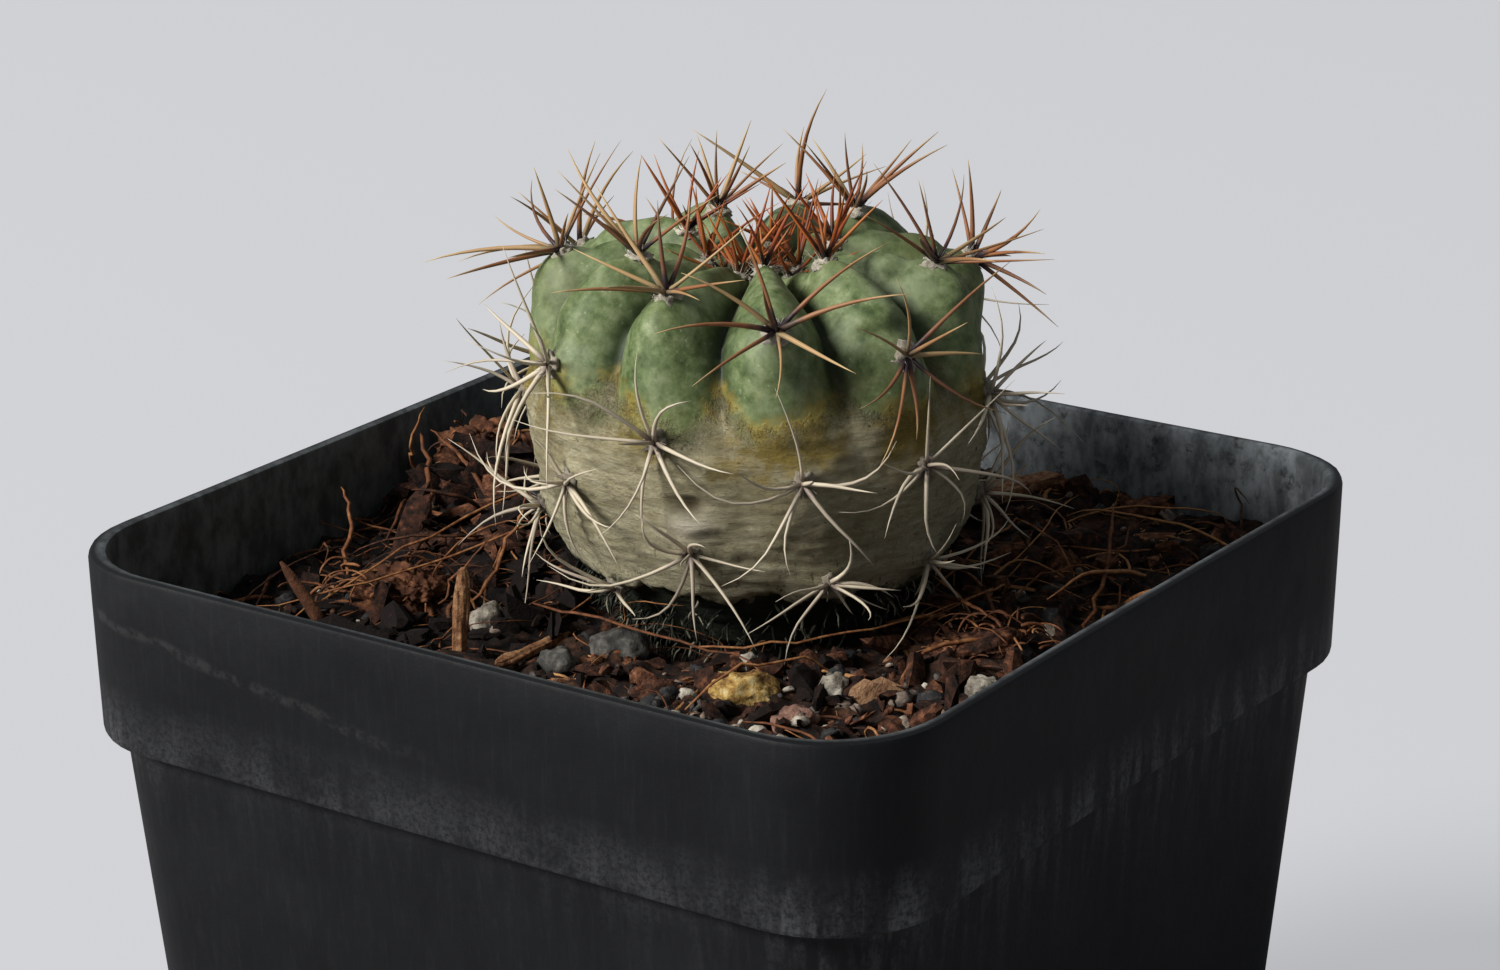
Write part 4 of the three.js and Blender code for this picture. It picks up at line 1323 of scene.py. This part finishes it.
def make_litter():
    crumbs = []
    for i, flat in enumerate((0.35, 0.5, 0.7, 0.9)):
        crumbs.append(lump_template(f"crumb_{i}", 1, flat, i * 7.0, 1.1, True))
    pebbles = []
    for i, flat in enumerate((0.7, 0.85)):
        pebbles.append(lump_template(f"pebble_{i}", 2, flat, 50 + i * 5.0, 0.6))
    bark = [bark_crumb(crumbs) for _ in range(CRUMB_COUNT)]
    bark += [husk_strip(crumbs[0]) for _ in range(STRIP_COUNT)]
    grit = grit_grains(pebbles)
    activate(heap(bark, "bark_crumbs", BARK, "bark_husk"))
    bpy.ops.object.shade_smooth_by_angle(angle=math.radians(32))
    heap(grit, "mixed_grit", GRIT, "pale_stone")
    for template in (*crumbs, *pebbles):
        bpy.data.objects.remove(template)


def stem_reach(z):
    """How far the stem's skin is from its axis at a height."""
    height = z - STEM.z
    lower = OUTLINE_POINTS[len(OUTLINE_POINTS) // 3:][::-1]
    return float(np.interp(height, lower[:, 1], lower[:, 0]))


def fibre_path(start, heading, rise, length, curl, steps=12):
    """A springy strand that starts in the bed, arches over and stays inside the walls."""
    spot = Vector(start)
    path = [spot.copy()]
    bend = rng.uniform(-curl, curl)
    for _ in range(steps):
        heading += bend + rng.uniform(-0.18, 0.18)
        rise += rng.uniform(-0.2, 0.12) - 0.06
        rise = max(rise, -0.9)
        level = math.cos(rise)
        ahead = Vector((math.cos(heading) * level, math.sin(heading) * level, math.sin(rise)))
        spot = spot + ahead * length / steps
        limit = BED_HALF - 0.5 * MM
        spot.x = min(max(spot.x, -limit), limit)
        spot.y = min(max(spot.y, -limit), limit)
        corner = BED_HALF - BED_CORNER
        over = Vector((max(abs(spot.x) - corner, 0), max(abs(spot.y) - corner, 0)))
        if over.length > BED_CORNER - 0.5 * MM:
            over *= (BED_CORNER - 0.5 * MM) / over.length
            spot.x = math.copysign(corner + over.x, spot.x) if abs(spot.x) > corner else spot.x
            spot.y = math.copysign(corner + over.y, spot.y) if abs(spot.y) > corner else spot.y
        out = Vector((spot.x - STEM.x, spot.y - STEM.y))
        near = stem_reach(spot.z) + 0.35 * MM
        if out.length < near:
            out *= near / max(out.length, 1e-9)
            spot.x, spot.y = STEM.x + out.x, STEM.y + out.y
        spot.z = max(spot.z, bed_height(spot.x, spot.y) - 0.1 * MM)
        path.append(spot.copy())
    return path


def coir_strands(strand):
    """Coir strands: a tangle at the left and at the back right, fewer at the front corner."""
    strands = []
    while len(strands) < STRAND_COUNT:
        x, y = free_spot(1.2)
        crowded = x < -6 * MM or (x > 8 * MM and y > 2 * MM)
        if not crowded and rng.random() < 0.6:
            continue
        rise = rng.choice((0.1, 0.2, 0.35, 0.6)) * rng.uniform(0.6, 1.3)
        length = rng.choice((2.5, 4, 5, 7, 10, 14)) * rng.uniform(0.8, 1.3) * MM
        start = (x, y, bed_height(x, y) - 0.1 * MM)
        path = fibre_path(start, random_turn(), rise, length, 0.22)
        thick = rng.choice((0.025, 0.035, 0.045, 0.055, 0.07, 0.11)) * MM
        shade = rng.random() * (1 - 1.5 * left_darkening(x))
        strands.append(bent_rod(strand, path, thick, shade, rng.choice((1, 1, 0.5))))
    return strands


# Strands that stand out: millimetres through which each one runs, and its radius.
LONG_STRANDS = (
    (0.13, (-24.9, -13.4, 58.6), (-26.4, -11.2, 60.6), (-28.4, -8.8, 62.2), (-29.6, -7.9, 63.4)),
    (
        0.12, (-14, 4, 65.2), (-18.4, -4.2, 62.9), (-20.2, -12.2, 61.6),
        (-21.9, -19.8, 59.8), (-22.6, -23.2, 58.4),
    ),
    (0.1, (-12.4, -3, 63.8), (-17, -11, 61.2), (-20.4, -18.5, 60.4), (-26, -22, 58.8)),
    (
        0.12, (25.3, 7.4, 58.4), (25.4, 9.6, 60.2), (24.2, 12.6, 61.5),
        (22.6, 16.2, 63.1), (21.6, 18.4, 64.2),
    ),
    (0.08, (24.3, 12.4, 61.4), (24.8, 13.6, 62.6), (24.4, 15.4, 63.6), (25.2, 16.6, 64.3)),
    (0.11, (13, 6, 59), (15.2, 9.6, 62.2), (16.4, 13.2, 63.5), (19.4, 14, 62.2), (21.8, 13, 59.2)),
    (
        0.09, (18.8, 6.4, 58.6), (20.2, 9.6, 61), (22.9, 12.2, 61.6),
        (25.8, 12.4, 60.2), (26.2, 10, 58.2),
    ),
    (
        0.1, (6, -13.6, 59.9), (11.4, -11.2, 60.5), (14.8, -6.8, 60.3),
        (17.6, -1.4, 60.9), (18.6, 6.4, 60.6),
    ),
    (
        0.12, (-8.6, -12.4, 59.8), (-3.4, -14.2, 60.5), (3.6, -14.6, 60.4),
        (9.8, -13.2, 60.1), (13.6, -14.4, 59.2),
    ),
    (0.12, (10.5, -20.5, 58.6), (12.6, -16.6, 60.9), (14.8, -12.4, 60.6), (16.6, -10.4, 58.8)),
    (0.16, (-31.8, 3.2, 60.4), (-31.2, 2.2, 63.2), (-30.6, 3.4, 66.2)),
    (0.2, (-25.4, -2.8, 58.8), (-27.6, -0.4, 61.6), (-30.8, 3.2, 64.4)),
    (0.18, (-22.6, 2, 59.4), (-26.4, 3.4, 62.6), (-31, 4.4, 64.2)),
    (0.1, (-15.2, -14.8, 58.9), (-14.4, -13.2, 61.4), (-12.8, -10.6, 64.2)),
    (0.15, (-13.6, -12.6, 58.8), (-13.4, -8.6, 62.6), (-12.9, -6.8, 65.4)),
)


def long_strands(strand):
    strands = []
    for radius, *points in LONG_STRANDS:
        through = np.array(points) * MM
        stations = np.linspace(0, len(points) - 1, 13)
        path = []
        for station in stations:
            i = min(int(station), len(points) - 2)
            t = station - i
            t = t * t * (3 - 2 * t) * 0.35 + t * 0.65
            wander = random_step(0.16, 0.16, 0.12) * MM
            path.append(Vector(through[i] * (1 - t) + through[i + 1] * t) + wander)
        strands.append(bent_rod(strand, path, 0.8 * radius * MM, rng.uniform(0.3, 0.75), 0.7))
    return strands


def husk_hairs(strand):
    """Short fibres that stand off the husk pieces and the heap at the back left."""
    hairs = []
    spots = []
    for solid in ("husk_chunk", "bark_slab", "bark_chip_1"):
        spots += [Vector(v) for v in coordinates(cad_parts[solid].data)]
    for _ in range(HAIR_COUNT):
        start = rng.choice(spots) + random_step(1, 1, 0.4) * MM
        start.x = max(start.x, -BED_HALF + 1.2 * MM)
        start.z = max(start.z, bed_height(start.x, start.y) - 0.2 * MM)
        length = rng.uniform(1.5, 5.5) * MM
        path = fibre_path(start, rng.gauss(2.2, 0.9), rng.uniform(-0.2, 0.7), length, 0.2)
        thick = rng.uniform(0.04, 0.14) * MM
        hairs.append(bent_rod(strand, path, thick, rng.uniform(0, 0.75), 0.6))
    return hairs


def foot_rootlets(strand):
    """Dark rootlets and mossy threads round the foot of the stem."""
    roots = []
    for _ in range(ROOTLET_COUNT):
        angle = random_turn()
        height = (5.2 * rng.random() ** 1.6 - 1.4) * MM
        reach = stem_reach(STEM.z + height) - 0.45 * MM
        foot_x = STEM.x + reach * math.cos(angle)
        foot_y = STEM.y + reach * math.sin(angle)
        start = Vector((foot_x, foot_y, STEM.z + height))
        path = [start]
        along_x = math.cos(angle + rng.uniform(-1.3, 1.3))
        along_y = math.sin(angle + rng.uniform(-1.3, 1.3))
        aim = Vector((along_x, along_y, -0.4))
        for _ in range(6):
            aim = (aim + random_aim(0.5, -0.5, 0.12)).normalized()
            path.append(path[-1] + aim * rng.uniform(0.12, 0.4) * MM)
        thick = rng.choice((0.03, 0.04, 0.05, 0.07)) * MM
        roots.append(bent_rod(strand, path, thick, rng.random() ** 1.2))
    return roots


def make_fibres():
    radii = [0.6, 0.9, 1, 1, 1, 0.95, 0.95, 0.9, 0.85, 0.8, 0.7, 0.5, 0.2]
    strand = tapered_rod("strand", 4, 12, radii)
    fibres = coir_strands(strand) + long_strands(strand) + husk_hairs(strand)
    heap(fibres, "coir_fibres", FIBRE, "coir_mix")
    heap(foot_rootlets(strand), "foot_rootlets", DARK_ROOT, "coir_mix")
    leaning = [(-0.0212, -0.0206, 0.0578), (-0.0226, -0.0207, 0.0597), (-0.0248, -0.0208, 0.0622)]
    stub = bent_rod(strand, leaning, 0.4 * MM, 0.4)
    finished(settle(stub), "leaning_stub", HUSK, "bark_husk")
    bpy.data.objects.remove(strand)


# ------------------------------------------------------------------ camera, light and floor

VIEW_AROUND = math.radians(34.93)
VIEW_ABOVE = math.radians(19.14)
VIEW_AWAY = 0.3124
VIEW_ROLL = math.radians(-0.539)
VIEW_PAN = math.radians(0.283)
VIEW_TILT = math.radians(0.301)
LENS_MM = 103.65
SENSOR_MM = 36
WORLD_GLOW = 0.2
WINDOW_POWER = 104
WINDOW_WIDTH = 0.9
WINDOW_PLACE = (-1.1, -1.9, 1.55)


def make_camera():
    """The camera's place and turn round the rim's middle."""
    level = math.cos(VIEW_ABOVE)
    back = Vector((
        math.sin(VIEW_AROUND) * level, -math.cos(VIEW_AROUND) * level, math.sin(VIEW_ABOVE),
    ))
    ahead = -back
    right = ahead.cross(Vector((0, 0, 1))).normalized()
    up = right.cross(ahead)
    rolled = right * math.cos(VIEW_ROLL) + up * math.sin(VIEW_ROLL)
    lifted = up * math.cos(VIEW_ROLL) - right * math.sin(VIEW_ROLL)
    ahead = (ahead + rolled * math.tan(VIEW_PAN) + lifted * math.tan(VIEW_TILT)).normalized()
    right = ahead.cross(lifted).normalized()
    up = right.cross(ahead)
    data = bpy.data.cameras.new("view")
    data.lens = LENS_MM
    data.sensor_width = SENSOR_MM
    data.sensor_fit = "HORIZONTAL"
    data.clip_start = 0.01
    camera = bpy.data.objects.new("view", data)
    bpy.context.scene.collection.objects.link(camera)
    turn = Matrix((right, up, -ahead)).transposed().to_4x4()
    camera.matrix_world = Matrix.Translation(Vector((0, 0, RIM_TOP)) + back * VIEW_AWAY) @ turn
    bpy.context.scene.camera = camera


def soft_light(name, place_at, aim_at, size, power, colour=(1, 1, 1)):
    data = bpy.data.lights.new(name, "AREA")
    data.shape = "DISK"
    data.size = size
    data.energy = power
    data.color = colour
    lamp = bpy.data.objects.new(name, data)
    bpy.context.scene.collection.objects.link(lamp)
    lamp.location = place_at
    lamp.rotation_euler = (Vector(aim_at) - Vector(place_at)).to_track_quat("-Z", "Y").to_euler()


def make_world():
    """A pale studio all round that shines less than it shows, so the window shapes the light."""
    world = bpy.data.worlds.new("studio")
    world.use_nodes = True
    tree = world.node_tree
    shown = tree.nodes["Background"]
    shown.inputs["Color"].default_value = (0.64, 0.645, 0.67, 1)
    glow = tree.nodes.new("ShaderNodeBackground")
    glow.inputs["Color"].default_value = (0.9, 0.95, 1.0, 1)
    glow.inputs["Strength"].default_value = WORLD_GLOW
    choose = tree.nodes.new("ShaderNodeMixShader")
    path = tree.nodes.new("ShaderNodeLightPath")
    tree.links.new(path.outputs["Is Camera Ray"], choose.inputs[0])
    tree.links.new(glow.outputs[0], choose.inputs[1])
    tree.links.new(shown.outputs[0], choose.inputs[2])
    tree.links.new(choose.outputs[0], tree.nodes["World Output"].inputs[0])
    bpy.context.scene.world = world


def pale_floor():
    """A pale floor that throws less light back on the pot than it shows."""
    made, tree, shader = new_material("pale floor", 0.9, Specular_IOR_Level=0.1)
    shader["Emission Color"].default_value = (0.6, 0.605, 0.63, 1)
    shader["Emission Strength"].default_value = 0.745
    shader["Base Color"].default_value = (0.2, 0.202, 0.208, 1)
    dim = node(tree, "BsdfDiffuse")
    dim.inputs["Color"].default_value = (0.22, 0.22, 0.23, 1)
    choose = node(tree, "MixShader")
    link(tree, node(tree, "LightPath").outputs["Is Camera Ray"], choose.inputs[0])
    link(tree, dim.outputs[0], choose.inputs[1])
    link(tree, shader["Base Color"].node.outputs[0], choose.inputs[2])
    out = next(n for n in tree.nodes if n.type == "OUTPUT_MATERIAL")
    link(tree, choose.outputs[0], out.inputs["Surface"])
    return made


def make_stage():
    deselect()
    bpy.ops.mesh.primitive_plane_add(size=12, location=(0, 0, 0))
    floor = bpy.context.object
    floor.name = "floor"
    floor.data.materials.append(pale_floor())
    make_world()
    warm = (1.0, 0.985, 0.965)
    soft_light("window", WINDOW_PLACE, (0, 0, 0.07), WINDOW_WIDTH, WINDOW_POWER, warm)
    bpy.context.scene.view_settings.view_transform = "Standard"


# ------------------------------------------------------------------ the whole object

def build():
    make_pot()
    make_bed()
    make_stem()
    spine = tapered_rod("spine", 6, 7, [1.25, 1, 0.92, 0.8, 0.66, 0.5, 0.3, 0.06])
    deselect()
    bpy.ops.mesh.primitive_ico_sphere_add(subdivisions=3, radius=1)
    wool = bpy.context.object
    hair = tapered_rod("hair", 3, 3, [1, 0.9, 0.7, 0.3])
    make_spines(spine, wool, hair)
    for template in (spine, wool, hair):
        bpy.data.objects.remove(template)
    make_pieces()
    make_litter()
    make_fibres()
    make_camera()
    make_stage()


build()
